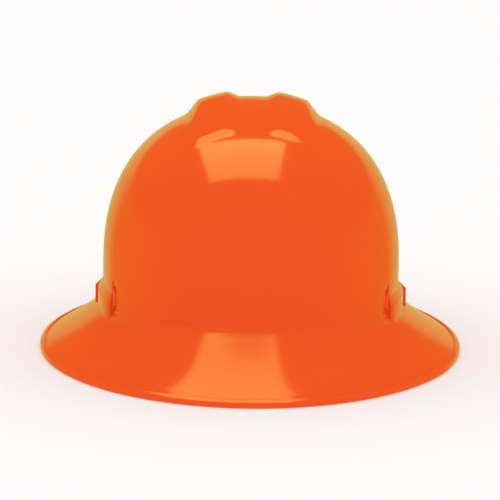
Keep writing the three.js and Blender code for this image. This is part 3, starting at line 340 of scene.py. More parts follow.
def on_both_sides(obj, left, operation):
    """Joins or cuts obj with a tool and with its mirror image."""
    right = mirrored_copy(left)
    boolean(obj, left, operation)
    boolean(obj, right, operation)


def rounded_path(corners, steps=5):
    """A polyline through (x, y, radius) corners, with each corner of a radius rounded by an arc."""
    points = []
    for k, (x, y, radius) in enumerate(corners):
        here = Vector((x, y))
        if radius <= 0 or k in (0, len(corners) - 1):
            points.append(here)
            continue
        back = Vector(corners[k - 1][:2]) - here
        ahead = Vector(corners[k + 1][:2]) - here
        half = back.angle(ahead) / 2
        reach = min(radius / math.tan(half), back.length * 0.5, ahead.length * 0.5)
        fitted = reach * math.tan(half)
        centre = here + (back.normalized() + ahead.normalized()).normalized() * (fitted / math.sin(half))
        start = here + back.normalized() * reach - centre
        finish = here + ahead.normalized() * reach - centre
        sweep = start.angle_signed(finish)
        for s in range(steps + 1):
            turned = start.copy()
            turned.rotate(Matrix.Rotation(-sweep * s / steps, 2))
            points.append(centre + turned)
    return points


# ---- Shell ----

def smoothstep(value):
    t = min(max(value, 0.0), 1.0)
    return t * t * (3 - 2 * t)


def ridge_rise(x, y):
    """How far the twin ridges of the crown stand above the plain dome.

    They start at the front with a small step, which only the ridges have, and a long ramp."""
    across = abs(x)
    past = across - RIDGE_PEAK_OFFSET
    side = smoothstep((RIDGE_HALF_SPREAD - across) / RIDGE_SIDE_STEP)
    crest = RIDGE_RISE - RIDGE_FALL * (math.hypot(past, RIDGE_CREST_ROUNDING) + past) / 2
    valley = smoothstep(-past / RIDGE_VALLEY_STEP)
    extra = RIDGE_SIDE_EXTRA * min(max(past / RIDGE_PEAK_OFFSET, 0.0), 1.0)
    along = y + RIDGE_FRONT_END + extra
    ramp = smoothstep(along / RIDGE_FRONT_RAMP)
    step = smoothstep(along / RIDGE_FRONT_STEP)
    front = ramp + (step - ramp) * RIDGE_STEP_SHARE * side * (1 - valley)
    rear = smoothstep((RIDGE_REAR_END + extra - y) / RIDGE_REAR_STEP)
    return (side * crest - RIDGE_VALLEY_DEPTH * valley) * front * rear


def dome_point(angle, turn, wall):
    power = 2 / DOME_PROFILE_EXPONENT
    radius = (dome_radius(angle) - wall) * math.sin(turn) ** power
    height = DOME_HEIGHT - wall - DOME_SHOULDER_HEIGHT
    point = polar(radius, angle, DOME_SHOULDER_HEIGHT + height * max(math.cos(turn), 0.0) ** power)
    point.z += ridge_rise(point.x, point.y)
    return point


class BrimShape:
    """The brim's width, slopes and fillet at a polar angle: at the front it meets the dome higher."""

    def __init__(self, angle):
        front = smoothstep((-math.sin(angle) - BRIM_FRONT_START) / (BRIM_FRONT_FULL - BRIM_FRONT_START))
        self.width = brim_radius(angle) - dome_radius(angle)
        self.inner = BRIM_INNER_SLOPE + (BRIM_FRONT_INNER_SLOPE - BRIM_INNER_SLOPE) * front
        self.outer = BRIM_OUTER_SLOPE + (BRIM_FRONT_OUTER_SLOPE - BRIM_OUTER_SLOPE) * front
        self.fillet = BRIM_FILLET_RADIUS + (BRIM_FRONT_FILLET_RADIUS - BRIM_FILLET_RADIUS) * front
        self.bend = 1 + (BRIM_FRONT_BEND - 1) * front
        self.turn = math.pi / 2 - math.atan(self.inner)
        self.top = self.height(self.fillet * (1 - math.cos(self.turn))) + self.fillet * math.sin(self.turn)

    def height(self, out):
        """Height of the top face, at a distance out from the dome wall."""
        easing = (self.inner - self.outer) * self.width / (self.bend + 1)
        root = BRIM_EDGE_HEIGHT + self.inner * self.width - easing
        return root - self.inner * out + easing * (out / self.width) ** (self.bend + 1)

    def under(self, out):
        """Height of the under face."""
        slope = self.inner - (self.inner - self.outer) * max(out / self.width, 0.0) ** self.bend
        return self.height(out) - SHELL_WALL * math.hypot(1, slope)


def brim_profile(shape, rows):
    """(out, z) points from the dome wall over the brim, round its bead and back under it to the wall."""
    width, radius = shape.width, shape.fillet
    fillet = [shape.turn * k / rows for k in range(rows + 1)]
    drop = shape.top - DOME_SHOULDER_HEIGHT
    points = [(0.0, DOME_SHOULDER_HEIGHT + drop * k / 4) for k in range(1, 4)]
    points += [(radius * (1 - math.cos(t)), shape.top - radius * math.sin(t)) for t in fillet]
    start = points[-1][0]
    groove = width - BEAD_WIDTH
    lead = groove - 1.4 * MM
    for k in range(1, rows + 3):
        out = start + (lead - start) * k / (rows + 2)
        points.append((out, shape.height(out)))
    line = shape.height(groove)
    reach = groove - 2 * MM
    bead = [
        (lead, shape.height(lead), 0),
        (groove - 0.35 * MM, line - 0.05 * MM, 0.7 * MM),
        (groove + 0.35 * MM, line + BEAD_RISE, 0.6 * MM),
        (width - 0.1 * MM, BRIM_EDGE_HEIGHT + BEAD_RISE, 1.1 * MM),
        (width, BRIM_EDGE_HEIGHT - 0.5 * MM, 0.3 * MM),
        (width, 0.1 * MM, 0.8 * MM),
        (width - 1 * MM, 0, 0.6 * MM),
        (groove, 0, 0.6 * MM),
        (groove - 0.3 * MM, line - SHELL_WALL * 1.12, 0.6 * MM),
        (reach, shape.under(reach), 0),
    ]
    points += [tuple(p) for p in rounded_path(bead, 4)[1:]]
    outer = radius + SHELL_WALL
    finish = radius - outer * math.cos(shape.turn)
    for k in range(1, rows):
        out = reach + (finish - reach) * k / rows
        points.append((out, shape.under(out)))
    points += [(radius - outer * math.cos(t), shape.top - outer * math.sin(t)) for t in reversed(fillet)]
    return points


def shell_skin(columns, rings, brim_rows):
    """The dome and brim as one closed wall, from the crown out over the bead and back inside."""
    outer_turns = [math.pi / 2 * k / rings for k in range(1, rings + 1)]
    inner_rings = rings // 2
    inner_turns = [math.pi / 2 * k / inner_rings for k in range(inner_rings, 0, -1)]
    verts, faces = [], []
    for c in range(columns):
        angle = TAU * c / columns
        wall = dome_radius(angle)
        profile = brim_profile(BrimShape(angle), brim_rows)
        verts += [dome_point(angle, t, 0.0) for t in outer_turns]
        verts += [polar(wall + out, angle, z) for out, z in profile]
        verts += [dome_point(angle, t, SHELL_WALL) for t in inner_turns]
    rows = len(verts) // columns
    for c in range(columns):
        here, after = c * rows, (c + 1) % columns * rows
        faces += [(here + k, here + k + 1, after + k + 1, after + k) for k in range(rows - 1)]
    crown = len(verts)
    verts.append(dome_point(0, 0, 0.0))
    verts.append(dome_point(0, 0, SHELL_WALL))
    for c in range(columns):
        here, after = c * rows, (c + 1) % columns * rows
        faces.append((crown, here, after))
        faces.append((crown + 1, after + rows - 1, here + rows - 1))
    return face_outwards(mesh_object("helmet_shell", verts, faces))


def side_panel():
    """The stepped panel that runs forward from the slot housing to the scoop, on the wearer's left."""
    steps = 36
    sections = []
    for s in range(steps + 1):
        share = s / steps
        angle = -(PANEL_REAR_ANGLE + (PANEL_FRONT_ANGLE - PANEL_REAR_ANGLE) * share)
        rise = PANEL_RISE + (PANEL_FRONT_RISE - PANEL_RISE) * share * share
        top = PANEL_TOP + (PANEL_FRONT_TOP - PANEL_TOP) * share
        wall = polar(dome_radius(angle), angle)
        normal = plan_normal(dome_radius, angle)
        foot = BrimShape(angle).height(rise)
        inside = -SHELL_WALL / 2
        nose = 0.0 if s < steps else 1 * MM
        corners = [
            (inside, foot + 5 * MM, 0),
            (rise - nose, foot, 0),
            (rise - nose, top, 0.9 * MM),
            (0.0, top + PANEL_CHAMFER * 0.92, 1.2 * MM),
            (inside, top + PANEL_CHAMFER + 1.4 * MM, 0),
        ]
        sections.append([wall + normal * out + Vector((0, 0, z)) for out, z in rounded_path(corners, 4)])
    return loft("side_panel", sections)


def slot_frame():
    """Frame of the slot housing: x runs out of its face, y runs back along the face."""
    lean = math.asin(HOUSING_TAPER / HOUSING_LENGTH)
    return Matrix.Translation((HOUSING_FACE_X, HOUSING_START, 0)) @ Matrix.Rotation(lean, 4, "Z")


def housing_foot():
    return BrimShape(0).height(0) - BRIM_FILLET_RADIUS / 2


def slot_housing():
    foot = housing_foot()
    root = -(HOUSING_FACE_X - DOME_HALF_WIDTH + SHELL_WALL / 2)

    def section(y, top, inset):
        rise = HOUSING_CHAMFER * inset
        return [
            Vector((root, y, foot + 5 * MM)),
            Vector((0, y, foot)),
            Vector((0, y, top)),
            Vector((-rise, y, top + rise)),
            Vector((root, y, top + rise)),
        ]

    sections = [section(0, HOUSING_TOP, 1), section(HOUSING_LENGTH, HOUSING_REAR_TOP, 0.8)]
    housing = loft("slot_housing", sections)
    bevel(housing, 0.7 * MM, 3, math.radians(25))
    housing.data.transform(slot_frame())
    return housing


def slot_inner_wall():
    outer = -SLOT_OUTER_WALL - SLOT_THICKNESS + FIT_GAP
    inner = outer - SLOT_INNER_WALL - FIT_GAP
    margin = (HOUSING_LENGTH - SLOT_WIDTH) / 2
    low = (inner, margin / 2, housing_foot())
    high = (outer, HOUSING_LENGTH - margin / 2, SLOT_TOP + margin)
    return bevel(block("slot_inner_wall", low, high, slot_frame()), 0.6 * MM)


def slot_cavity():
    outer = -SLOT_OUTER_WALL
    inner = outer - SLOT_THICKNESS
    margin = (HOUSING_LENGTH - SLOT_WIDTH) / 2

    def section(y, top):
        corners = [(inner, 0), (outer, 0), (outer, top), (inner, top)]
        return [Vector((x, y, z)) for x, z in corners]

    sections = [section(margin, SLOT_TOP), section(HOUSING_LENGTH - margin, SLOT_REAR_TOP)]
    cavity = bevel(loft("slot_cavity", sections), 0.5 * MM)
    cavity.data.transform(slot_frame())
    return cavity


def scoop_cutter():
    """The D-shaped recess in front of the panel, whose edge flares into a rounded lip."""
    half = SCOOP_HEIGHT / 2
    arc_steps, lip_steps = 24, 5
    frame_here = wall_frame(-SCOOP_ANGLE)

    def outline(spread, x):
        ring = []
        for k in range(arc_steps + 1):
            turn = -math.pi / 2 + math.pi * k / arc_steps
            y = -math.cos(turn) * (SCOOP_WIDTH + spread) + SCOOP_WIDTH / 2
            ring.append(frame_here @ Vector((x, y, SCOOP_MIDDLE + math.sin(turn) * (half + spread))))
        for k in range(1, 4):
            z = (half + spread) * (1 - k / 2)
            ring.append(frame_here @ Vector((x, SCOOP_WIDTH / 2 + spread, SCOOP_MIDDLE + z)))
        return ring

    sections = [
        outline(-SCOOP_LEDGE - 0.3 * MM, -SCOOP_DEPTH),
        outline(-SCOOP_LEDGE, -SCOOP_DEPTH + 0.3 * MM),
        outline(-SCOOP_LEDGE + 0.1 * MM, -SCOOP_LEDGE_DEPTH - 0.25 * MM),
        outline(-SCOOP_LEDGE + 0.4 * MM, -SCOOP_LEDGE_DEPTH),
        outline(-0.4 * MM, -SCOOP_LEDGE_DEPTH + 0.05 * MM),
    ]
    for k in range(lip_steps + 1):
        turn = math.pi / 2 * k / lip_steps
        flare = SCOOP_LIP * (1 - math.cos(turn))
        sections.append(outline(flare, -SCOOP_LIP + SCOOP_LIP * math.sin(turn) + 0.1 * MM))
    sections.append(outline(SCOOP_LIP * 1.05, 2.5 * MM))
    return loft("scoop", sections)


def socket_block(angle):
    low = (-SOCKET_DEPTH, -SOCKET_HALF_WIDTH, SOCKET_BOTTOM)
    high = (-SHELL_WALL / 2, SOCKET_HALF_WIDTH, SOCKET_TOP)
    return bevel(block("socket", low, high, wall_frame(angle)), 0.6 * MM)


def socket_slot(angle):
    blade_back = SOCKET_DEPTH - SOCKET_INNER_WALL - FIT_GAP
    half = BLADE_HALF_WIDTH + FIT_GAP
    low = (-blade_back - FIT_GAP, -half, 0)
    high = (-blade_back + BLADE_THICKNESS + FIT_GAP, half, BLADE_TOP + 2 * MM)
    return block("socket_slot", low, high, wall_frame(angle))


def make_shell(sizes):
    shell = shell_skin(sizes.columns, sizes.rings, sizes.brim_rows)
    for part in (slot_housing, side_panel, slot_inner_wall):
        on_both_sides(shell, part(), "UNION")
    for angle in KEY_ANGLES.values():
        boolean(shell, socket_block(angle), "UNION")
    for angle in KEY_ANGLES.values():
        boolean(shell, socket_slot(angle), "DIFFERENCE")
    for part in (slot_cavity, scoop_cutter):
        on_both_sides(shell, part(), "DIFFERENCE")
    work = bmesh.new()
    work.from_mesh(shell.data)
    bmesh.ops.remove_doubles(work, verts=work.verts, dist=0.002 * MM)
    bmesh.ops.dissolve_degenerate(work, edges=work.edges, dist=0.002 * MM)
    work.to_mesh(shell.data)
    work.free()
    return smooth(shell)


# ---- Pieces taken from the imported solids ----

def refined(node, edge):
    """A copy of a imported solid, with its triangles merged into faces and its edges rounded."""
    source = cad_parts[node]
    obj = bpy.data.objects.new(f"{node}_finished", source.data.copy())
    bpy.context.scene.collection.objects.link(obj)
    work = bmesh.new()
    work.from_mesh(obj.data)
    bmesh.ops.remove_doubles(work, verts=work.verts, dist=0.01 * MM)
    bmesh.ops.dissolve_limit(work, angle_limit=math.radians(0.6), verts=work.verts, edges=work.edges)
    for face in work.faces:
        face.smooth = False
    work.to_mesh(obj.data)
    work.free()
    for attribute in ("sharp_edge", "custom_normal"):
        if attribute in obj.data.attributes:
            obj.data.attributes.remove(obj.data.attributes[attribute])
    bevel(face_outwards(obj), edge, 2, math.radians(38))
    return smooth(obj, math.radians(30))


# ---- Crown straps ----

def strap_hook():
    """The hook of a strap round its key's bar, as distances in from the wall and heights."""
    head_side = PLATE_INNER + TOUCH_GAP + STRAP_THICKNESS / 2
    wall_side = PLATE_OUTER - TOUCH_GAP - STRAP_THICKNESS / 2
    window = (KEY_WINDOW_BOTTOM + KEY_WINDOW_TOP) / 2 - TOUCH_GAP
    over = KEY_TOP + TOUCH_GAP + STRAP_THICKNESS / 2
    return rounded_path([
        (head_side - STRAP_THICKNESS - TOUCH_GAP, over, 0),
        (wall_side, over, STRAP_BEND),
        (wall_side, window, STRAP_BEND),
        (head_side, window, STRAP_BEND),
        (head_side + STRAP_LEAN, KEY_TOP + STRAP_STRAIGHT, 0),
    ], 4)


def strap_stations(front, rear, height, steps):
    """(point, across) pairs along a crown strap, from its front key to its rear key."""
    ends = []
    for name in (front, rear):
        place = wall_frame(KEY_ANGLES[name])
        points = [place @ Vector((-inset, 0, z)) for inset, z in strap_hook()]
        ends.append((points, place.to_3x3() @ Vector((0, 1, 0))))
    start, finish = ends[0][0][-1], ends[1][0][-1]
    middle = (start + finish) / 2
    half = (finish - start).length / 2
    direction = (finish - start).normalized()
    level = Vector((-direction.y, direction.x, 0))
    sides = [side if side.dot(level) > 0 else -side for _, side in ends]
    stations = [(point, sides[0]) for point in ends[0][0]]
    power = 2 / CROWN_STRAP_EXPONENT
    for s in range(1, steps):
        turn = math.pi * s / steps
        reach = -math.copysign(abs(math.cos(turn)) ** power, math.cos(turn)) * half
        point = middle + direction * reach
        point.z = start.z + (height - start.z) * math.sin(turn) ** power
        twist = max(0.0, 1 - 3 * min(s, steps - s) / steps)
        stations.append((point, level.lerp(sides[0 if s * 2 < steps else 1], twist).normalized()))
    return stations + [(point, sides[1]) for point in reversed(ends[1][0])]


def strap_frames(stations):
    """(point, across, out, distance) along a strap."""
    frames, distance = [], 0.0
    for k, (point, across) in enumerate(stations):
        before, after = stations[max(0, k - 1)][0], stations[min(len(stations) - 1, k + 1)][0]
        travel = ((point - before).normalized() + (after - point).normalized()).normalized()
        distance += (point - before).length
        frames.append((point, across, travel.cross(across).normalized(), distance))
    return frames


# Half of a webbing's outline, as shares of its half width and half thickness.
WEBBING_EDGE = ((1, 0), (0.985, 0.62), (0.955, 1), (0.7, 0.94), (0.4, 1))
WEBBING_SECTION = WEBBING_EDGE + ((0, 0.96),) + tuple((-u, v) for u, v in reversed(WEBBING_EDGE))


def webbing(name, frames):
    """Woven webbing with full selvedges; its UV runs across it and along it, in metres."""
    outline = list(WEBBING_SECTION) + [(u, -v) for u, v in reversed(WEBBING_SECTION[1:-1])]
    sections, places = [], []
    for point, across, out, distance in frames:
        ring = []
        for u, v in outline:
            ring.append(point + across * (u * STRAP_WIDTH / 2) + out * (v * STRAP_THICKNESS / 2))
            places.append((u * STRAP_WIDTH / 2, distance))
        sections.append(ring)
    strap = loft(name, sections)
    layer = strap.data.uv_layers.new(name="weave")
    for loop in strap.data.loops:
        layer.data[loop.index].uv = places[loop.vertex_index]
    return smooth(strap, math.radians(50))


def box_stitch(frames, start, finish):
    """Paths of a sewn box with a cross in it, on both faces of a strap, between two distances."""
    def at(distance, share, face):
        for (a, b) in zip(frames, frames[1:]):
            if b[3] >= distance:
                mix = (distance - a[3]) / max(b[3] - a[3], 1e-9)
                point, across = a[0].lerp(b[0], mix), a[1].lerp(b[1], mix)
                out = a[2].lerp(b[2], mix)
                return point + across * (share * STRAP_WIDTH / 2) + out * (face * STRAP_THICKNESS / 2)
        return frames[-1][0]

    side = 0.72
    near, far = [(start, -side), (start, side)], [(finish, side), (finish, -side)]
    corners = near + far + [near[0], far[0]]
    paths = []
    for face in (-1.04, 1.04):
        path = []
        for (d0, x0), (d1, x1) in zip(corners, corners[1:]):
            path += [at(d0 + (d1 - d0) * k / 8, x0 + (x1 - x0) * k / 8, face) for k in range(8)]
        paths.append(path)
    return paths


# ---- Geometry Nodes ----

def stitch_tree():
    """Threads laid along every path, one stitch for each pitch."""
    wires, given, result = new_group(
        "stitches",
        [("Geometry", GEOMETRY, None), ("Pitch", FLOAT, 2.6 * MM), ("Length", FLOAT, 2 * MM),
         ("Thread Radius", FLOAT, 0.22 * MM), ("Material", MATERIAL, None)],
        [("Geometry", GEOMETRY)],
        "GeometryNodeTree",
    )
    curve = wires.node("GeometryNodeMeshToCurve", Mesh=given["Geometry"])
    resample = wires.node(
        "GeometryNodeResampleCurve", mode="LENGTH", Curve=curve.outputs[0], Length=given["Pitch"]
    )
    thread = wires.node("GeometryNodeMeshUVSphere", Segments=8, Rings=6, Radius=1)
    tangent = wires.node("GeometryNodeInputTangent")
    align = wires.node("FunctionNodeAlignRotationToVector", axis="Z", Vector=tangent.outputs[0])
    half = math_node(wires.tree, "MULTIPLY", given["Length"], 0.5)
    size = wires.node("ShaderNodeCombineXYZ", X=given["Thread Radius"], Y=given["Thread Radius"], Z=half)
    place = wires.node(
        "GeometryNodeInstanceOnPoints", Points=resample.outputs[0], Instance=thread.outputs["Mesh"],
        Rotation=align.outputs[0], Scale=size.outputs[0],
    )
    return finish_tree(wires, given, place.outputs[0], result)


def finish_tree(wires, given, instances, result):
    """Ends a tree with realized instances in the material it was given."""
    real = wires.node("GeometryNodeRealizeInstances", Geometry=instances)
    coat = wires.node("GeometryNodeSetMaterial", Geometry=real.outputs[0], Material=given["Material"])
    wires.link(coat.outputs[0], result[0])
    return wires.tree


def screw_tree():
    """One screw on every point, turned by the point's own angle about Z."""
    wires, given, result = new_group(
        "screws",
        [("Geometry", GEOMETRY, None), ("Screw", "NodeSocketObject", None), ("Material", MATERIAL, None)],
        [("Geometry", GEOMETRY)],
        "GeometryNodeTree",
    )
    screw = wires.node("GeometryNodeObjectInfo", Object=given["Screw"])
    turn = wires.node("GeometryNodeInputNamedAttribute", data_type="FLOAT", Name="turn")
    spin = wires.node("ShaderNodeCombineXYZ", Z=turn.outputs["Attribute"])
    rotate = wires.node("FunctionNodeEulerToRotation", Euler=spin.outputs[0])
    place = wires.node(
        "GeometryNodeInstanceOnPoints", Points=given["Geometry"], Instance=screw.outputs["Geometry"],
        Rotation=rotate.outputs[0],
    )
    return finish_tree(wires, given, place.outputs[0], result)


def run_tree(obj, tree, **values):
    """Evaluates a tree on obj and leaves the result as a plain mesh."""
    modifier = obj.modifiers.new("build", "NODES")
    modifier.node_group = tree
    for item in tree.interface.items_tree:
        key = item.name.replace(" ", "_")
        if item.in_out == "INPUT" and key in values:
            modifier[item.identifier] = values[key]
    return bake(obj)


def stitches(name, paths, pitch, material):
    verts = [point for path in paths for point in path]
    edges, first = [], 0
    for path in paths:
        edges += [(first + k, first + k + 1) for k in range(len(path) - 1)]
        first += len(path)
    mesh = bpy.data.meshes.new(name)
    mesh.from_pydata([tuple(v) for v in verts], edges, [])
    obj = bpy.data.objects.new(name, mesh)
    bpy.context.scene.collection.objects.link(obj)
    run_tree(obj, shared_group("stitches"), Pitch=pitch, Length=pitch * 0.8, Material=material)
    return smooth(obj, math.pi)


# ---- Headband ----

def rounded_rectangle(x0, x1, y0, y1, radius, steps=3):
    ring = []
    for cx, cy, start in ((x1, y1, 0), (x0, y1, 1), (x0, y0, 2), (x1, y0, 3)):
        middle_x = cx + (radius if cx == x0 else -radius)
        middle_y = cy + (radius if cy == y0 else -radius)
        for k in range(steps + 1):
            turn = math.pi / 2 * (start + k / steps)
            ring.append((middle_x + radius * math.cos(turn), middle_y + radius * math.sin(turn)))
    return ring


def band_inset(angle):
    """How far the headband's middle lies in from the dome wall, along a key's own x."""
    place = wall_frame(angle)
    low, high = 0.0, DOME_HALF_WIDTH
    for _ in range(40):
        middle = (low + high) / 2
        point = place @ Vector((-middle, 0, 0))
        if math.hypot(point.x, point.y) > band_radius(math.atan2(point.y, point.x)):
            low = middle
        else:
            high = middle
    return low


def make_headband(steps):
    """The band with its four tabs, each slotted for the stud that it slides on."""
    half = BAND_THICKNESS / 2
    start, finish = BAND_END_ANGLE, -math.pi - BAND_END_ANGLE
    outline = rounded_rectangle(-half, half, BAND_BOTTOM, BAND_TOP, 0.6 * MM)
    sections = []
    for s in range(steps + 1):
        angle = start + (finish - start) * s / steps
        middle, normal = polar(band_radius(angle), angle), plan_normal(band_radius, angle)
        sections.append([middle + normal * out + Vector((0, 0, z)) for out, z in outline])
    band = loft("headband_finished", sections)
    slot_half = STUD_RADIUS + FIT_GAP
    slot_top = STUD_HEIGHT + slot_half
    slot_bottom = STUD_HEIGHT - HEIGHT_TRAVEL - slot_half
    foot = (BAND_BOTTOM + BAND_TOP) / 2
    tabs = [(angle, band_inset(angle)) for angle in KEY_ANGLES.values()]
    for angle, inset in tabs:
        low = (-inset - half, -TAB_HALF_WIDTH, foot)
        high = (-inset + half, TAB_HALF_WIDTH, slot_top + slot_half)
        boolean(band, bevel(block("tab", low, high, wall_frame(angle)), 0.5 * MM), "UNION")
    for angle, inset in tabs:
        low = (-inset - 2 * half, -slot_half, slot_bottom)
        high = (-inset + 2 * half, slot_half, slot_top)
        boolean(band, block("tab_slot", low, high, wall_frame(angle)), "DIFFERENCE")
    return smooth(band, math.radians(30))


# ---- Pads ----

class PadShape:
    """A pad bent round a vertical axis: angles round the axis, distances out from an arc, heights."""

    def __init__(self, centre_y, radius_at, middle, half_angle, inner, outer, bottom, top):
        self.centre = Vector((0, centre_y, 0))
        self.radius_at, self.middle, self.half_angle = radius_at, middle, half_angle
        self.inner, self.outer, self.bottom, self.top = inner, outer, bottom, top

    def world(self, angle, out, z):
        return self.centre + polar(self.radius_at(angle) + out, angle, z)

    def local(self, point):
        angle = math.atan2(point.y - self.centre.y, point.x)
        angle = self.middle + (angle - self.middle + math.pi) % TAU - math.pi
        reach = math.hypot(point.x, point.y - self.centre.y)
        return angle, reach - self.radius_at(angle), point.z

    def arc(self, angle):
        return (angle - self.middle) * self.radius_at(self.middle)

    def blank(self, name, shrink, voxel):
        """The pad before it is filled, a little smaller than its space, in even quads."""
        half = self.half_angle - shrink / self.radius_at(self.middle)
        outline = rounded_rectangle(
            self.inner + shrink, self.outer - shrink, self.bottom + shrink, self.top - shrink, 1.4 * MM, 4
        )
        sections = []
        for s in range(61):
            angle = self.middle + half * (2 * s / 60 - 1)
            sections.append([self.world(angle, out, z) for out, z in outline])
        pad = loft(name, sections)
        remesh = pad.modifiers.new("even quads", "REMESH")
        remesh.mode = "VOXEL"
        remesh.voxel_size = voxel
        return bake(pad)

    def seam_distance(self, angle, z, inset):
        """Distance from the seam that runs round the head side, inset from the pad's edges."""
        reach = self.half_angle * self.radius_at(self.middle) - inset
        along = abs(abs(self.arc(angle)) - reach)
        up = min(abs(z - self.bottom - inset), abs(z - self.top + inset))
        inside = abs(self.arc(angle)) < reach
        return min(along, up) if inside else along


def fill(pad, shape, pressure, cap):
    """Fills a pad by a cloth simulation, with each point's move capped and kept in the pad's space."""
    scene = bpy.context.scene
    before = [v.co.copy() for v in pad.data.vertices]
    cloth = pad.modifiers.new("filling", "CLOTH")
    cloth.settings.quality = 4
    cloth.settings.mass = 0.05
    cloth.settings.tension_stiffness = 12
    cloth.settings.compression_stiffness = 12
    cloth.settings.bending_stiffness = 0.4
    cloth.settings.use_pressure = True
    cloth.settings.uniform_pressure_force = pressure
    cloth.settings.effector_weights.gravity = 0
    cloth.point_cache.frame_start = 1
    cloth.point_cache.frame_end = 20
    for step in range(1, 21):
        scene.frame_set(step)
    bake(pad)
    scene.frame_set(1)
    for vertex, rest in zip(pad.data.vertices, before):
        move = vertex.co - rest
        if move.length > cap:
            move *= cap / move.length
        angle, out, z = shape.local(rest + move)
        out = min(max(out, shape.inner - cap / 2), shape.outer)
        vertex.co = shape.world(angle, out, min(max(z, shape.bottom), shape.top))


def finish_pad(pad, shape, inset):
    """Rounds a filled pad, presses its seam in and gives it a UV in metres."""
    rounder = pad.modifiers.new("rounding", "SUBSURF")
    rounder.levels = 1
    bake(pad)
    middle = (shape.inner + shape.outer) / 2
    places = []
    for vertex in pad.data.vertices:
        angle, out, z = shape.local(vertex.co)
        near = max(0.0, 1 - shape.seam_distance(angle, z, inset) / (1.5 * MM))
        if out < middle:
            out += 0.7 * MM * near * near
            vertex.co = shape.world(angle, out, z)
        places.append((shape.arc(angle), z))
    layer = pad.data.uv_layers.new(name="knit")
    for loop in pad.data.loops:
        layer.data[loop.index].uv = places[loop.vertex_index]
    return smooth(face_outwards(pad), math.radians(60))


def seam_path(shape, inset, out):
    half = shape.half_angle - inset / shape.radius_at(shape.middle)
    low, high = shape.bottom + inset, shape.top - inset
    corners = [(-half, low), (half, low), (half, high), (-half, high), (-half, low)]
    path = []
    for (a0, z0), (a1, z1) in zip(corners, corners[1:]):
        for k in range(40):
            angle = shape.middle + a0 + (a1 - a0) * k / 40
            path.append(shape.world(angle, out, z0 + (z1 - z0) * k / 40))
    return path + path[:1]


# ---- Knob and screws ----

def disc_stack(name, rings, height):
    """A closed body along Y through rings of (y, radius at an angle, sides), about the ratchet's axis."""
    sides = 192
    sections = []
    for y, radius_at in rings:
        ring = []
        for k in range(sides):
            turn = TAU * k / sides
            radius = radius_at(turn)
            ring.append(Vector((radius * math.cos(turn), y, height + radius * math.sin(turn))))
        sections.append(ring)
    return loft(name, sections)


def bar(name, radius, y0, y1, height=RATCHET_HEIGHT):
    return disc_stack(name, [(y0, lambda turn: radius), (y1, lambda turn: radius)], height)


def make_knob():
    """The lobed knob, hollow over the click ring, with a hub for the shaft and a recess for its screw."""
    low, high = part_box("ratchet_knob")
    front, rear, full = low.y, high.y, (high.x - low.x) / 2

    def lobed(inset, share=1.0):
        return lambda turn: full - inset - share * KNOB_LOBE_DEPTH * (1 - math.cos(turn * KNOB_LOBES)) / 2

    rings = [(front, lobed(0.5 * MM)), (front + 0.2 * MM, lobed(0.15 * MM)), (front + 0.6 * MM, lobed(0))]
    for k in range(7):
        turn = math.pi / 2 * k / 6
        inset = KNOB_EDGE * (1 - math.cos(turn))
        rings.append((rear - KNOB_EDGE * (1 - math.sin(turn)), lobed(inset, 1 - 0.5 * k / 6)))
    rings.append((rear - 0.05 * MM, lobed(KNOB_EDGE + 2.5 * MM, 0.3)))
    rings.append((rear - 0.9 * MM, lobed(KNOB_EDGE + 3.4 * MM, 0.2)))
    rings.append((rear - 1.1 * MM, lobed(KNOB_EDGE + 5 * MM, 0)))
    knob = disc_stack("ratchet_knob_finished", rings, RATCHET_HEIGHT)
    cavity_end = rear - KNOB_END_WALL
    margin = 1 * MM
    cavity = bevel(bar("cavity", KNOB_CAVITY_RADIUS, front - margin, cavity_end), 0.5 * MM)
    boolean(knob, cavity, "DIFFERENCE")
    boolean(knob, bar("hub", HUB_RADIUS, front, cavity_end + 0.5 * MM), "UNION")
    boolean(knob, bar("shaft_bore", SHAFT_BORE_RADIUS, front - margin, cavity_end), "DIFFERENCE")
    boolean(knob, bar("screw_bore", SCREW_BORE_RADIUS, front, rear), "DIFFERENCE")
    recess = bar("head_recess", HEAD_SPACE_RADIUS, cavity_end + WEB_THICKNESS, rear + margin)
    boolean(knob, recess, "DIFFERENCE")
    return smooth(knob, math.radians(34))


def make_screw(name):
    """A pan-head screw along +Y with a cross recess and a fine thread; its seat is at y = 0."""
    profile = rounded_path([
        (0, -SCREW_HEAD_HEIGHT, 0),
        (SCREW_HEAD_RADIUS * 0.75, -SCREW_HEAD_HEIGHT, 0.9 * MM),
        (SCREW_HEAD_RADIUS, -SCREW_HEAD_HEIGHT * 0.4, 0.5 * MM),
        (SCREW_HEAD_RADIUS, 0, 0),
    ], 5)[1:]
    rings = [(y, r) for r, y in profile] + [(0.0, SCREW_RADIUS)]
    turns = 10
    for k in range(turns):
        y = 0.3 * MM + (SCREW_LENGTH - 1.2 * MM) * k / turns
        pitch = (SCREW_LENGTH - 1.2 * MM) / turns
        rings += [(y, SCREW_RADIUS * 0.86), (y + pitch / 2, SCREW_RADIUS)]
    rings += [(SCREW_LENGTH - 0.6 * MM, SCREW_RADIUS * 0.8), (SCREW_LENGTH, SCREW_RADIUS * 0.3)]
    screw = disc_stack(name, [(y, lambda turn, r=r: r) for y, r in rings], 0)
    arm, thin, floor = SCREW_HEAD_RADIUS * 0.6, SCREW_HEAD_RADIUS * 0.14, -SCREW_HEAD_HEIGHT * 0.45
    mouth = -SCREW_HEAD_HEIGHT - 1 * MM
    boolean(screw, block("recess", (-arm, mouth, -thin), (arm, floor, thin)), "DIFFERENCE")
    boolean(screw, block("recess", (-thin, mouth, -arm), (thin, floor, arm)), "DIFFERENCE")
    return smooth(screw, math.radians(34))


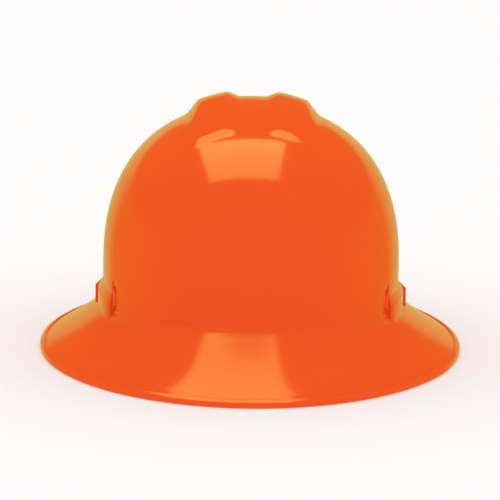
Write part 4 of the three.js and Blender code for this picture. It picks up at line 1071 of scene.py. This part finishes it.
def make_cover_screws(material):
    """The four cover screws, each on its own seat and turned to point out from the nape's centre."""
    screw = make_screw("screw_pattern")
    seat = COVER_INNER - TOUCH_GAP
    places, turns = [], []
    for side in (-1, 1):
        for height in (-SCREW_OFFSET, SCREW_OFFSET):
            angle = side * SCREW_ANGLE
            place = (seat * math.sin(angle), NAPE_CENTRE + seat * math.cos(angle), RATCHET_HEIGHT + height)
            places.append(place)
            turns.append(-angle)
    obj = mesh_object("cover_screws_finished", places, [])
    obj.data.attributes.new("turn", "FLOAT", "POINT").data.foreach_set("value", turns)
    run_tree(obj, shared_group("screws"), Screw=screw, Material=material)
    bpy.data.objects.remove(screw)
    return smooth(obj, math.radians(34))


# ---- Materials ----

class Wiring:
    """A node tree under construction."""

    def __init__(self, tree):
        self.tree, self.nodes = tree, tree.nodes

    def node(self, kind, **settings):
        """Adds a node. A setting is a property, an input's value or the socket that feeds the input."""
        made = self.nodes.new(kind)
        for key, value in settings.items():
            label = key.replace("_", " ")
            if label not in made.inputs:
                setattr(made, key, value)
            elif isinstance(value, bpy.types.NodeSocket):
                self.link(value, made.inputs[label])
            else:
                made.inputs[label].default_value = value
        return made

    def link(self, source, target):
        self.tree.links.new(source, target)


class Shader(Wiring):
    """A material under construction, with its Principled shader."""

    def __init__(self, name, **values):
        self.material = bpy.data.materials.new(name)
        self.material.use_nodes = True
        super().__init__(self.material.node_tree)
        self.principled = self.nodes["Principled BSDF"]
        for socket, value in values.items():
            self.principled.inputs[socket.replace("_", " ")].default_value = value

    def group(self, name, **values):
        made = self.nodes.new("ShaderNodeGroup")
        made.node_tree = shared_group(name)
        for key, value in values.items():
            slot = made.inputs[key.replace("_", " ")]
            if isinstance(value, bpy.types.NodeSocket):
                self.link(value, slot)
            else:
                slot.default_value = value
        return made

    def handled(self, place, colour, shift, roughness, rough_shift, scuffs):
        """Feeds the colour and the roughness of a handled surface, and returns its marks."""
        marks = self.group(
            "handling", Vector=place, Colour=colour, Colour_Shift=shift, Roughness=roughness,
            Roughness_Shift=rough_shift, Scuff_Scale=scuffs,
        )
        self.feed(marks.outputs["Colour"], "Base Color")
        self.feed(marks.outputs["Roughness"], "Roughness")
        return marks

    def feed(self, source, socket):
        self.link(source, self.principled.inputs[socket])

    def coordinates(self, output="Object"):
        return self.nodes.new("ShaderNodeTexCoord").outputs[output]

    def bump(self, height, strength, distance, under=None):
        made = self.node("ShaderNodeBump", Strength=strength, Distance=distance, Height=height)
        if under is not None:
            self.link(under, made.inputs["Normal"])
        return made.outputs[0]


def new_group(name, inputs, outputs, kind="ShaderNodeTree"):
    """A node group with its named sockets, and its input and output nodes."""
    tree = bpy.data.node_groups.new(name, kind)
    for label, socket, default in inputs:
        made = tree.interface.new_socket(label, in_out="INPUT", socket_type=socket)
        if default is not None:
            made.default_value = default
    for label, socket in outputs:
        tree.interface.new_socket(label, in_out="OUTPUT", socket_type=socket)
    return Wiring(tree), tree.nodes.new("NodeGroupInput").outputs, tree.nodes.new("NodeGroupOutput").inputs


FLOAT, COLOUR, VECTOR = "NodeSocketFloat", "NodeSocketColor", "NodeSocketVector"
GEOMETRY, MATERIAL = "NodeSocketGeometry", "NodeSocketMaterial"


def math_node(tree, operation, a, b=None, clamp=False):
    made = tree.nodes.new("ShaderNodeMath")
    made.operation = operation
    made.use_clamp = clamp
    for slot, value in zip(made.inputs, (a, b)):
        if value is None:
            continue
        if isinstance(value, (int, float)):
            slot.default_value = value
        else:
            tree.links.new(value, slot)
    return made.outputs[0]


def handling_group():
    """Faint scuffs, dust and unevenness of a surface that has been handled."""
    wires, given, result = new_group(
        "handling",
        [("Vector", VECTOR, None), ("Colour", COLOUR, (0.8, 0.8, 0.8, 1)), ("Colour Shift", FLOAT, 0.05),
         ("Roughness", FLOAT, 0.4), ("Roughness Shift", FLOAT, 0.08), ("Scuff Scale", FLOAT, 60.0)],
        [("Colour", COLOUR), ("Roughness", FLOAT), ("Height", FLOAT)],
    )
    tree = wires.tree
    cloud = wires.node("ShaderNodeTexNoise", Scale=9, Detail=4, Vector=given["Vector"])
    stretch = wires.node(
        "ShaderNodeMapping", Scale=(1, 1, 0.12), Rotation=(0.5, 0.9, 0.3), Vector=given["Vector"]
    )
    scuff = wires.node(
        "ShaderNodeTexNoise", Detail=6, Roughness=0.7, Vector=stretch.outputs[0], Scale=given["Scuff Scale"]
    )
    lines = math_node(tree, "SUBTRACT", scuff.outputs["Fac"], 0.6)
    lines = math_node(tree, "MULTIPLY", lines, 6.0, clamp=True)
    swing = math_node(tree, "SUBTRACT", cloud.outputs["Fac"], 0.5)
    factor = math_node(tree, "ADD", math_node(tree, "MULTIPLY", swing, given["Colour Shift"]), 1.0)
    scaled = wires.node("ShaderNodeVectorMath", operation="SCALE", Scale=factor)
    wires.link(given["Colour"], scaled.inputs[0])
    wires.link(scaled.outputs[0], result["Colour"])
    rough = math_node(tree, "MULTIPLY", math_node(tree, "ADD", swing, lines), given["Roughness Shift"])
    wires.link(math_node(tree, "ADD", rough, given["Roughness"]), result["Roughness"])
    wires.link(scuff.outputs["Fac"], result["Height"])
    return tree


def grain_group():
    """The spark-eroded grain of a mould, as a height."""
    inputs = [("Vector", VECTOR, None), ("Grain Size", FLOAT, 0.5 * MM)]
    wires, given, result = new_group("mould grain", inputs, [("Height", FLOAT)])
    tree = wires.tree
    scale = math_node(tree, "DIVIDE", 1.0, given["Grain Size"])
    cell = wires.node("ShaderNodeTexVoronoi", feature="SMOOTH_F1", Vector=given["Vector"], Scale=scale)
    fine = wires.node("ShaderNodeTexNoise", Detail=3, Vector=given["Vector"], Scale=scale)
    wires.link(math_node(tree, "ADD", cell.outputs["Distance"], fine.outputs["Fac"]), result["Height"])
    return tree


def weave_group():
    """A plain weave on a coordinate in metres: u across the webbing, v along it."""
    wires, given, result = new_group(
        "weave",
        [("Vector", VECTOR, None), ("Warp Pitch", FLOAT, 0.9 * MM), ("Weft Pitch", FLOAT, 1.1 * MM)],
        [("Height", FLOAT), ("Thread", FLOAT)],
    )
    tree = wires.tree
    split = wires.node("ShaderNodeSeparateXYZ", Vector=given["Vector"])
    ridges, cells = [], []
    for axis, pitch in (("X", "Warp Pitch"), ("Y", "Weft Pitch")):
        place = math_node(tree, "DIVIDE", split.outputs[axis], given[pitch])
        wave = math_node(tree, "SINE", math_node(tree, "MULTIPLY", place, math.pi))
        ridges.append(math_node(tree, "ABSOLUTE", wave))
        cells.append(math_node(tree, "FLOOR", place))
    total = math_node(tree, "ABSOLUTE", math_node(tree, "ADD", *cells))
    parity = math_node(tree, "MODULO", total, 2.0)
    over = math_node(tree, "MULTIPLY", ridges[0], parity)
    under = math_node(tree, "MULTIPLY", ridges[1], math_node(tree, "SUBTRACT", 1.0, parity))
    wires.link(math_node(tree, "ADD", over, under), result["Height"])
    wires.link(parity, result["Thread"])
    return tree


GROUPS = {}


def shared_group(name):
    makers = {
        "handling": handling_group, "grain": grain_group, "weave": weave_group,
        "stitches": stitch_tree, "screws": screw_tree,
    }
    if name not in GROUPS:
        GROUPS[name] = makers[name]()
    return GROUPS[name]


def shell_plastic(colour):
    """Gloss high-visibility polyethylene with a faint moulding ripple and light handling marks."""
    shader = Shader("gloss_shell_plastic", IOR=1.5, Specular_Tint=(1.0, 0.95, 0.8, 1))
    place = shader.coordinates()
    shader.handled(place, colour, 0.05, 0.13, 0.05, 45.0)
    ripple = shader.node("ShaderNodeTexNoise", Scale=14.0, Detail=1.0, Vector=place)
    peel = shader.node("ShaderNodeTexNoise", Scale=700.0, Detail=2.0, Vector=place)
    normal = shader.bump(ripple.outputs["Fac"], 0.12, 0.4 * MM)
    shader.feed(shader.bump(peel.outputs["Fac"], 0.05, 0.02 * MM, normal), "Normal")
    return shader.material


def moulded_plastic(name, colour, roughness, grain, strength):
    """Moulded engineering plastic with spark-eroded grain, faint colour drift and handling marks."""
    shader = Shader(name, IOR=1.5)
    place = shader.coordinates()
    marks = shader.handled(place, colour, 0.22, roughness, 0.12, 70.0)
    texture = shader.group("grain", Grain_Size=grain, Vector=place)
    normal = shader.bump(texture.outputs["Height"], strength, 0.06 * MM)
    shader.feed(shader.bump(marks.outputs["Height"], 0.08, 0.03 * MM, normal), "Normal")
    return shader.material


def woven_fabric(name, colour, warp, weft, strength, fuzz):
    """Yarn on the mesh's own UV in metres, with broken-up colour and stray fibres; the weave's height also
    darkens the colour between the threads as painted shade and lightens it on their crowns as painted
    highlight.
    """
    shader = Shader(name, Sheen_Weight=0.25, Sheen_Roughness=0.5, Specular_IOR_Level=0.3)
    weave = shader.group("weave", Warp_Pitch=warp, Weft_Pitch=weft, Vector=shader.coordinates("UV"))
    place = shader.coordinates()
    marks = shader.handled(place, colour, 0.35, 0.82, 0.1, 160.0)
    # Painted shade and highlight: the colour follows the weave's height, dark in the hollows between threads
    # and light on their crowns.
    painted_shading = shader.node("ShaderNodeMapRange", To_Min=0.45, To_Max=1.25, Value=weave.outputs["Height"])
    weave_shaded_colour = shader.node("ShaderNodeVectorMath", operation="SCALE", Scale=painted_shading.outputs[0])
    shader.link(marks.outputs["Colour"], weave_shaded_colour.inputs[0])
    shader.feed(weave_shaded_colour.outputs[0], "Base Color")
    fibres = shader.node("ShaderNodeTexNoise", Scale=fuzz, Detail=3.0, Vector=place)
    normal = shader.bump(weave.outputs["Height"], strength, 0.25 * MM)
    shader.feed(shader.bump(fibres.outputs["Fac"], 0.25, 0.1 * MM, normal), "Normal")
    return shader.material


def sewing_thread(colour):
    """Twisted polyester thread, darkened in the grooves of its twist as painted shade."""
    shader = Shader("sewing_thread", Roughness=0.6, Sheen_Weight=0.2)
    place = shader.coordinates()
    twist = shader.node("ShaderNodeTexWave", Scale=900.0, Distortion=1.5, Detail=1.0, Vector=place)
    # Painted shade: the colour drops to 60 percent in the twist's grooves, following the wave that also
    # bumps it.
    painted_twist_shade = [channel * 0.6 for channel in colour[:3]] + [1]
    painted_shading = shader.node("ShaderNodeMix", data_type="RGBA", A=painted_twist_shade, B=colour, Factor=twist.outputs["Fac"])
    shader.feed(painted_shading.outputs["Result"], "Base Color")
    shader.feed(shader.bump(twist.outputs["Fac"], 0.4, 0.06 * MM), "Normal")
    return shader.material


def plated_steel():
    """Bright zinc plating with fine turning lines, dull patches and scuffs."""
    shader = Shader("zinc_plated_steel", Metallic=1.0)
    place = shader.coordinates()
    marks = shader.handled(place, (0.6, 0.61, 0.63, 1), 0.3, 0.3, 0.2, 220.0)
    lines = shader.node(
        "ShaderNodeTexWave", wave_type="RINGS", Scale=1400.0, Distortion=2.0, Detail=2.0, Vector=place
    )
    normal = shader.bump(lines.outputs["Fac"], 0.15, 0.02 * MM)
    shader.feed(shader.bump(marks.outputs["Height"], 0.2, 0.03 * MM, normal), "Normal")
    return shader.material


BLACK_NYLON = (0.012, 0.0125, 0.014, 1)
DARK_BAND = (0.02, 0.021, 0.024, 1)
NATURAL_ACETAL = (0.74, 0.71, 0.63, 1)
DARK_WEBBING = (0.016, 0.017, 0.019, 1)
DARK_KNIT = (0.03, 0.031, 0.034, 1)
GREY_THREAD = (0.16, 0.16, 0.17, 1)
MATERIAL_MAKERS = {
    "moulding": (moulded_plastic, "black_moulded_nylon", BLACK_NYLON, 0.42, 0.55 * MM, 0.3),
    "band": (moulded_plastic, "dark_band_plastic", DARK_BAND, 0.34, 0.9 * MM, 0.16),
    "acetal": (moulded_plastic, "natural_acetal", NATURAL_ACETAL, 0.36, 0.7 * MM, 0.12),
    "webbing": (woven_fabric, "polyester_webbing", DARK_WEBBING, 0.95 * MM, 1.5 * MM, 0.8, 2600.0),
    "pad": (woven_fabric, "knitted_pad_cover", DARK_KNIT, 1.3 * MM, 0.85 * MM, 0.55, 1900.0),
    "thread": (sewing_thread, GREY_THREAD),
    "steel": (plated_steel,),
}
MATERIALS = {}


def shared_material(name):
    if name not in MATERIALS:
        make, *values = MATERIAL_MAKERS[name]
        MATERIALS[name] = make(*values)
    return MATERIALS[name]


# ---- Finishing a piece ----

def hand_over(obj, material, body, slot, *nodes):
    """Gives a finished piece its material and its body, and hides the CAD nodes it stands for; the slot is
    not used.
    """
    obj.data.materials.clear()
    obj.data.materials.append(material)
    for polygon in obj.data.polygons:
        polygon.material_index = 0
    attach(obj, body)
    if nodes:
        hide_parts(*nodes)
    return obj


# ---- Stage ----

# What the gloss sees of the walls, from 0 in front to 1 behind, of the wall above them and of the ground.
FRONT_WALL = (0.5, 0.05, 0.005, 1)
BACKDROP = (0.64, 0.66, 0.18, 1)
UPPER_WALL = (0.8, 0.2, 0.015, 1)
GROUND = (0.7, 0.7, 0.7, 1)
WALL_COLOURS = (
    (0.2, (0.55, 0.09, 0.008, 1)),
    (0.46, (0.8, 0.4, 0.02, 1)),
    (0.87, (0.75, 0.36, 0.02, 1)),
    (0.93, (0.64, 0.67, 0.17, 1)),
)


def floor_material():
    """Pale matte floor that is not seen from below."""
    shader = Shader("stage_floor", Base_Color=(0.9, 0.9, 0.9, 1), Roughness=0.9, Specular_IOR_Level=0.1)
    clear = shader.node("ShaderNodeBsdfTransparent")
    side = shader.node("ShaderNodeNewGeometry")
    mix = shader.node("ShaderNodeMixShader", Fac=side.outputs["Backfacing"])
    shader.link(shader.principled.outputs[0], mix.inputs[1])
    shader.link(clear.outputs[0], mix.inputs[2])
    shader.link(mix.outputs[0], shader.nodes["Material Output"].inputs["Surface"])
    return shader.material


def make_world(strength):
    """Surroundings that light surfaces white, and that only the gloss sees as coloured walls."""
    world = bpy.data.worlds.new("studio")
    bpy.context.scene.world = world
    world.use_nodes = True
    wires = Wiring(world.node_tree)
    even = wires.nodes["Background"]
    even.inputs["Color"].default_value = (1, 1, 1, 1)
    even.inputs["Strength"].default_value = strength
    place = wires.node("ShaderNodeTexCoord")
    split = wires.node("ShaderNodeSeparateXYZ", Vector=place.outputs["Generated"])
    span = wires.node("ShaderNodeMapRange", From_Min=-1, Value=split.outputs["Y"])
    walls = wires.node("ShaderNodeValToRGB", Fac=span.outputs[0])
    ramp = walls.color_ramp.elements
    ramp[0].color = FRONT_WALL
    ramp[1].color = BACKDROP
    for place_on_ramp, colour in WALL_COLOURS:
        ramp.new(place_on_ramp).color = colour
    above = wires.node(
        "ShaderNodeMapRange", interpolation_type="SMOOTHSTEP", From_Min=0.16, From_Max=0.24,
        Value=split.outputs["Z"],
    )
    below = wires.node("ShaderNodeMapRange", From_Min=-0.35, From_Max=-0.55, Value=split.outputs["Z"])
    gloss = wires.node(
        "ShaderNodeMix", data_type="RGBA", Factor=above.outputs[0], A=walls.outputs["Color"], B=UPPER_WALL
    )
    ground = wires.node(
        "ShaderNodeMix", data_type="RGBA", Factor=below.outputs[0], A=gloss.outputs["Result"], B=GROUND
    )
    mirror = wires.node("ShaderNodeBackground", Color=ground.outputs["Result"])
    mix = wires.node("ShaderNodeMixShader", Fac=wires.node("ShaderNodeLightPath").outputs["Is Glossy Ray"])
    wires.link(even.outputs[0], mix.inputs[1])
    wires.link(mirror.outputs[0], mix.inputs[2])
    wires.link(mix.outputs[0], wires.nodes["World Output"].inputs["Surface"])


SOFTBOX_PLACE = (-0.13, 0.24, 1.35)
SOFTBOX_SIZE = (0.86, 1.08)
SOFTBOX_COLOUR = (0.72, 1.0, 0.28)
FLOOR_HALF = 6.0
FLOOR_DROP = 0.2 * MM


def area_light(name, place, size, power):
    """A rectangular light that faces straight down."""
    data = bpy.data.lights.new(name, "AREA")
    data.shape = "RECTANGLE"
    data.size, data.size_y = size
    data.energy = power
    lamp = bpy.data.objects.new(name, data)
    bpy.context.scene.collection.objects.link(lamp)
    lamp.location = place
    return lamp


def make_camera(distance, elevation, roll, aim_height, lens):
    data = bpy.data.cameras.new("camera")
    data.lens = lens
    data.sensor_width = 36
    camera = bpy.data.objects.new("camera", data)
    bpy.context.scene.collection.objects.link(camera)
    place = Vector((0, -math.cos(elevation), math.sin(elevation))) * distance
    aim = Vector((-0.8 * MM, 0, aim_height))
    turn = (aim - place).to_track_quat("-Z", "Y").to_matrix() @ Matrix.Rotation(roll, 3, "Z")
    camera.location = place
    camera.rotation_euler = turn.to_euler()
    bpy.context.scene.camera = camera


# ---- Settings, operators and panel ----

def number(name, description, default, kind=bpy.props.FloatProperty, **more):
    return kind(name=name, description=description, default=default, **more)


def length(name, description, default):
    return number(name, description, default, unit="LENGTH")


def count(name, description, default):
    return number(name, description, default, bpy.props.IntProperty)


class ShellSettings(bpy.types.PropertyGroup):
    columns: count("Columns", "Points round the shell", 320)
    rings: count("Rings", "Rings from the crown to the shoulder", 72)
    brim_rows: count("Brim rows", "Rows across the fillet and the brim", 11)
    colour: bpy.props.FloatVectorProperty(
        name="Colour", description="Colour of the shell plastic", subtype="COLOR", size=4,
        default=(0.845, 0.082, 0.012, 1.0),
    )


class MouldingSettings(bpy.types.PropertyGroup):
    edge: length("Edge", "Rounding of thick edges", 0.4 * MM)
    fine_edge: length("Fine edge", "Rounding of thin edges", 0.25 * MM)
    tooth_edge: length("Tooth edge", "Rounding of teeth and small parts", 0.12 * MM)
    band_steps: count("Band steps", "Steps along the headband", 180)


class StrapSettings(bpy.types.PropertyGroup):
    steps: count("Steps", "Steps over the crown", 90)
    pitch: length("Stitch pitch", "Distance between stitches", 2.4 * MM)


class PadSettings(bpy.types.PropertyGroup):
    voxel: length("Voxel", "Size of a pad's quads before filling", 1.7 * MM)
    shrink: length("Shrink", "How much smaller a pad is before filling", 0.5 * MM)
    pressure: number("Pressure", "Pressure of the filling", 4.0)
    cap: length("Cap", "How far a point may move while filling", 1.2 * MM)
    seam_inset: length("Seam inset", "Distance of the seam from the pad's edge", 3.2 * MM)
    pitch: length("Stitch pitch", "Distance between stitches", 2.8 * MM)


class StageSettings(bpy.types.PropertyGroup):
    distance: length("Distance", "Camera distance from the brim's middle", 1.824)
    elevation: number(
        "Elevation", "Camera height above the horizon", math.radians(14.16), unit="ROTATION"
    )
    roll: number("Roll", "Camera roll", math.radians(0.71), unit="ROTATION")
    aim_height: length("Aim height", "Height the camera looks at", 0.0659)
    lens: number("Lens", "Focal length in millimetres", 188.9)
    surroundings: number("Surroundings", "Brightness of the white surroundings", 1.1)
    softbox: number("Softbox", "Power of the overhead softbox in watts", 9.4)


class HELMET_OT_shell(bpy.types.Operator):
    """Builds the dome, brim, slot housings and sockets as one moulding"""

    bl_idname = "helmet.shell"
    bl_label = "Shell"

    def execute(self, context):
        sizes = context.scene.helmet_shell
        shell = make_shell(sizes)
        hand_over(shell, shell_plastic(tuple(sizes.colour)), "shell_and_straps", "shell_plastic", "shell")
        return {"FINISHED"}


class HELMET_OT_keys(bpy.types.Operator):
    """Builds the four keys that hold the crown straps and carry the headband"""

    bl_idname = "helmet.keys"
    bl_label = "Keys"

    def execute(self, context):
        for name in KEY_ANGLES:
            node = f"key_{name}"
            key = refined(node, context.scene.helmet_moulding.edge)
            hand_over(key, shared_material("moulding"), "shell_and_straps", "moulding", node)
        return {"FINISHED"}


class HELMET_OT_crown_straps(bpy.types.Operator):
    """Weaves the two crossing crown straps and sews their ends"""

    bl_idname = "helmet.crown_straps"
    bl_label = "Crown straps"

    def execute(self, context):
        sizes = context.scene.helmet_straps
        lift = STRAP_THICKNESS + STRAP_CROSSING_GAP
        runs = (("crown_strap_a", "front_left", "rear_right", CROWN_STRAP_HEIGHT - lift),
                ("crown_strap_b", "front_right", "rear_left", CROWN_STRAP_HEIGHT))
        for node, front, rear, height in runs:
            frames = strap_frames(strap_stations(front, rear, height, sizes.steps))
            strap = webbing(f"{node}_finished", frames)
            hand_over(strap, shared_material("webbing"), "shell_and_straps", "webbing", node)
            length = frames[-1][3]
            paths = []
            for start, finish in ((21 * MM, 35 * MM), (length - 35 * MM, length - 21 * MM)):
                paths += box_stitch(frames, start, finish)
            sewn = stitches(f"{node}_stitches", paths, sizes.pitch, shared_material("thread"))
            hand_over(sewn, shared_material("thread"), "shell_and_straps", "webbing")
        return {"FINISHED"}


class HELMET_OT_headband(bpy.types.Operator):
    """Builds the headband and its slotted tabs"""

    bl_idname = "helmet.headband"
    bl_label = "Headband"

    def execute(self, context):
        band = make_headband(context.scene.helmet_moulding.band_steps)
        hand_over(band, shared_material("band"), "headband_unit", "band_plastic", "headband")
        return {"FINISHED"}


class HELMET_OT_pads(bpy.types.Operator):
    """Fills and sews the brow pad and the nape pad"""

    bl_idname = "helmet.pads"
    bl_label = "Pads"

    def execute(self, context):
        sizes = context.scene.helmet_pads
        low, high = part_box("brow_pad")
        outer = -BAND_THICKNESS / 2 - TOUCH_GAP
        brow = PadShape(0, band_radius, -math.pi / 2, BROW_PAD_HALF_ANGLE, outer - BROW_PAD_THICKNESS, outer,
                        low.z, high.z)
        nape = PadShape(NAPE_CENTRE, lambda angle: COVER_INNER, math.pi / 2, NAPE_PAD_HALF_ANGLE,
                        -TOUCH_GAP - NAPE_PAD_THICKNESS, -TOUCH_GAP, RATCHET_HEIGHT - NAPE_PAD_HALF_HEIGHT,
                        RATCHET_HEIGHT + NAPE_PAD_HALF_HEIGHT)
        for node, shape in (("brow_pad", brow), ("nape_pad", nape)):
            pad = shape.blank(f"{node}_finished", sizes.shrink, sizes.voxel)
            fill(pad, shape, sizes.pressure, sizes.cap)
            finish_pad(pad, shape, sizes.seam_inset)
            hand_over(pad, shared_material("pad"), "headband_unit", "pad_foam", node)
            path = seam_path(shape, sizes.seam_inset, shape.inner + 0.7 * MM)
            sewn = stitches(f"{node}_stitches", [path], sizes.pitch, shared_material("thread"))
            hand_over(sewn, shared_material("thread"), "headband_unit", "pad_foam")
        return {"FINISHED"}


class HELMET_OT_nape_straps(bpy.types.Operator):
    """Builds the two lapped nape straps with their racks"""

    bl_idname = "helmet.nape_straps"
    bl_label = "Nape straps"

    def execute(self, context):
        for side in ("left", "right"):
            node = f"nape_strap_{side}"
            strap = refined(node, context.scene.helmet_moulding.fine_edge)
            hand_over(strap, shared_material("band"), f"nape_{side}", "band_plastic", node)
        return {"FINISHED"}


class HELMET_OT_ratchet(bpy.types.Operator):
    """Builds the ratchet's housing, cover and cover screws"""

    bl_idname = "helmet.ratchet"
    bl_label = "Ratchet"

    def execute(self, context):
        for node in ("ratchet_housing", "ratchet_cover"):
            piece = refined(node, context.scene.helmet_moulding.fine_edge)
            hand_over(piece, shared_material("moulding"), "headband_unit", "moulding", node)
        screws = make_cover_screws(shared_material("steel"))
        nodes = [f"cover_screw_{k}" for k in range(1, 5)]
        hand_over(screws, shared_material("steel"), "headband_unit", "steel", *nodes)
        return {"FINISHED"}


class HELMET_OT_knob(bpy.types.Operator):
    """Builds the knob, its pinion and click spring, and the screw and washer that hold it"""

    bl_idname = "helmet.knob"
    bl_label = "Knob"

    def execute(self, context):
        sizes = context.scene.helmet_moulding
        hand_over(make_knob(), shared_material("moulding"), "knob_unit", "moulding", "ratchet_knob")
        finishes = {"ratchet_pinion": "acetal", "click_spring": "acetal", "knob_washer": "steel",
                    "knob_screw": "steel"}
        for node, finish in finishes.items():
            piece = refined(node, sizes.tooth_edge)
            hand_over(piece, shared_material(finish), "knob_unit", finish, node)
        return {"FINISHED"}


class HELMET_OT_stage(bpy.types.Operator):
    """Sets out the floor, the surroundings, the lights and the camera"""

    bl_idname = "helmet.stage"
    bl_label = "Stage"

    def execute(self, context):
        sizes = context.scene.helmet_stage
        corners = [(-1, -1), (1, -1), (1, 1), (-1, 1)]
        places = [Vector((x * FLOOR_HALF, y * FLOOR_HALF, -FLOOR_DROP)) for x, y in corners]
        floor = mesh_object("floor", places, [(0, 1, 2, 3)])
        floor.data.materials.append(floor_material())
        floor.visible_glossy = False
        floor.visible_diffuse = False
        make_world(sizes.surroundings)
        softbox = area_light("overhead_softbox", SOFTBOX_PLACE, SOFTBOX_SIZE, sizes.softbox)
        softbox.data.color = SOFTBOX_COLOUR
        softbox.visible_diffuse = False
        make_camera(sizes.distance, sizes.elevation, sizes.roll, sizes.aim_height, sizes.lens)
        context.scene.view_settings.view_transform = "Standard"
        return {"FINISHED"}


class HELMET_PT_panel(bpy.types.Panel):
    """Lists the helmet's pieces and the stage"""

    bl_label = "Full Brim Helmet"
    bl_space_type = "VIEW_3D"
    bl_region_type = "UI"
    bl_category = "Helmet"

    def draw(self, context):
        for operator in OPERATORS:
            self.layout.operator(operator.bl_idname)
        for name in SETTINGS:
            group = getattr(context.scene, name)
            for key in group.bl_rna.properties.keys():
                if key not in ("rna_type", "name"):
                    self.layout.prop(group, key)


SETTINGS = {
    "helmet_shell": ShellSettings,
    "helmet_moulding": MouldingSettings,
    "helmet_straps": StrapSettings,
    "helmet_pads": PadSettings,
    "helmet_stage": StageSettings,
}
OPERATORS = (
    HELMET_OT_shell, HELMET_OT_keys, HELMET_OT_crown_straps, HELMET_OT_headband, HELMET_OT_pads,
    HELMET_OT_nape_straps, HELMET_OT_ratchet, HELMET_OT_knob, HELMET_OT_stage,
)
CLASSES = (*SETTINGS.values(), *OPERATORS, HELMET_PT_panel)


def register():
    for cls in CLASSES:
        bpy.utils.register_class(cls)
    for name, group in SETTINGS.items():
        setattr(bpy.types.Scene, name, bpy.props.PointerProperty(type=group))


def unregister():
    for name in SETTINGS:
        delattr(bpy.types.Scene, name)
    for cls in reversed(CLASSES):
        bpy.utils.unregister_class(cls)


def main():
    register()
    for operator in OPERATORS:
        group, name = operator.bl_idname.split(".")
        getattr(getattr(bpy.ops, group), name)()


if __name__ == "__main__":
    main()
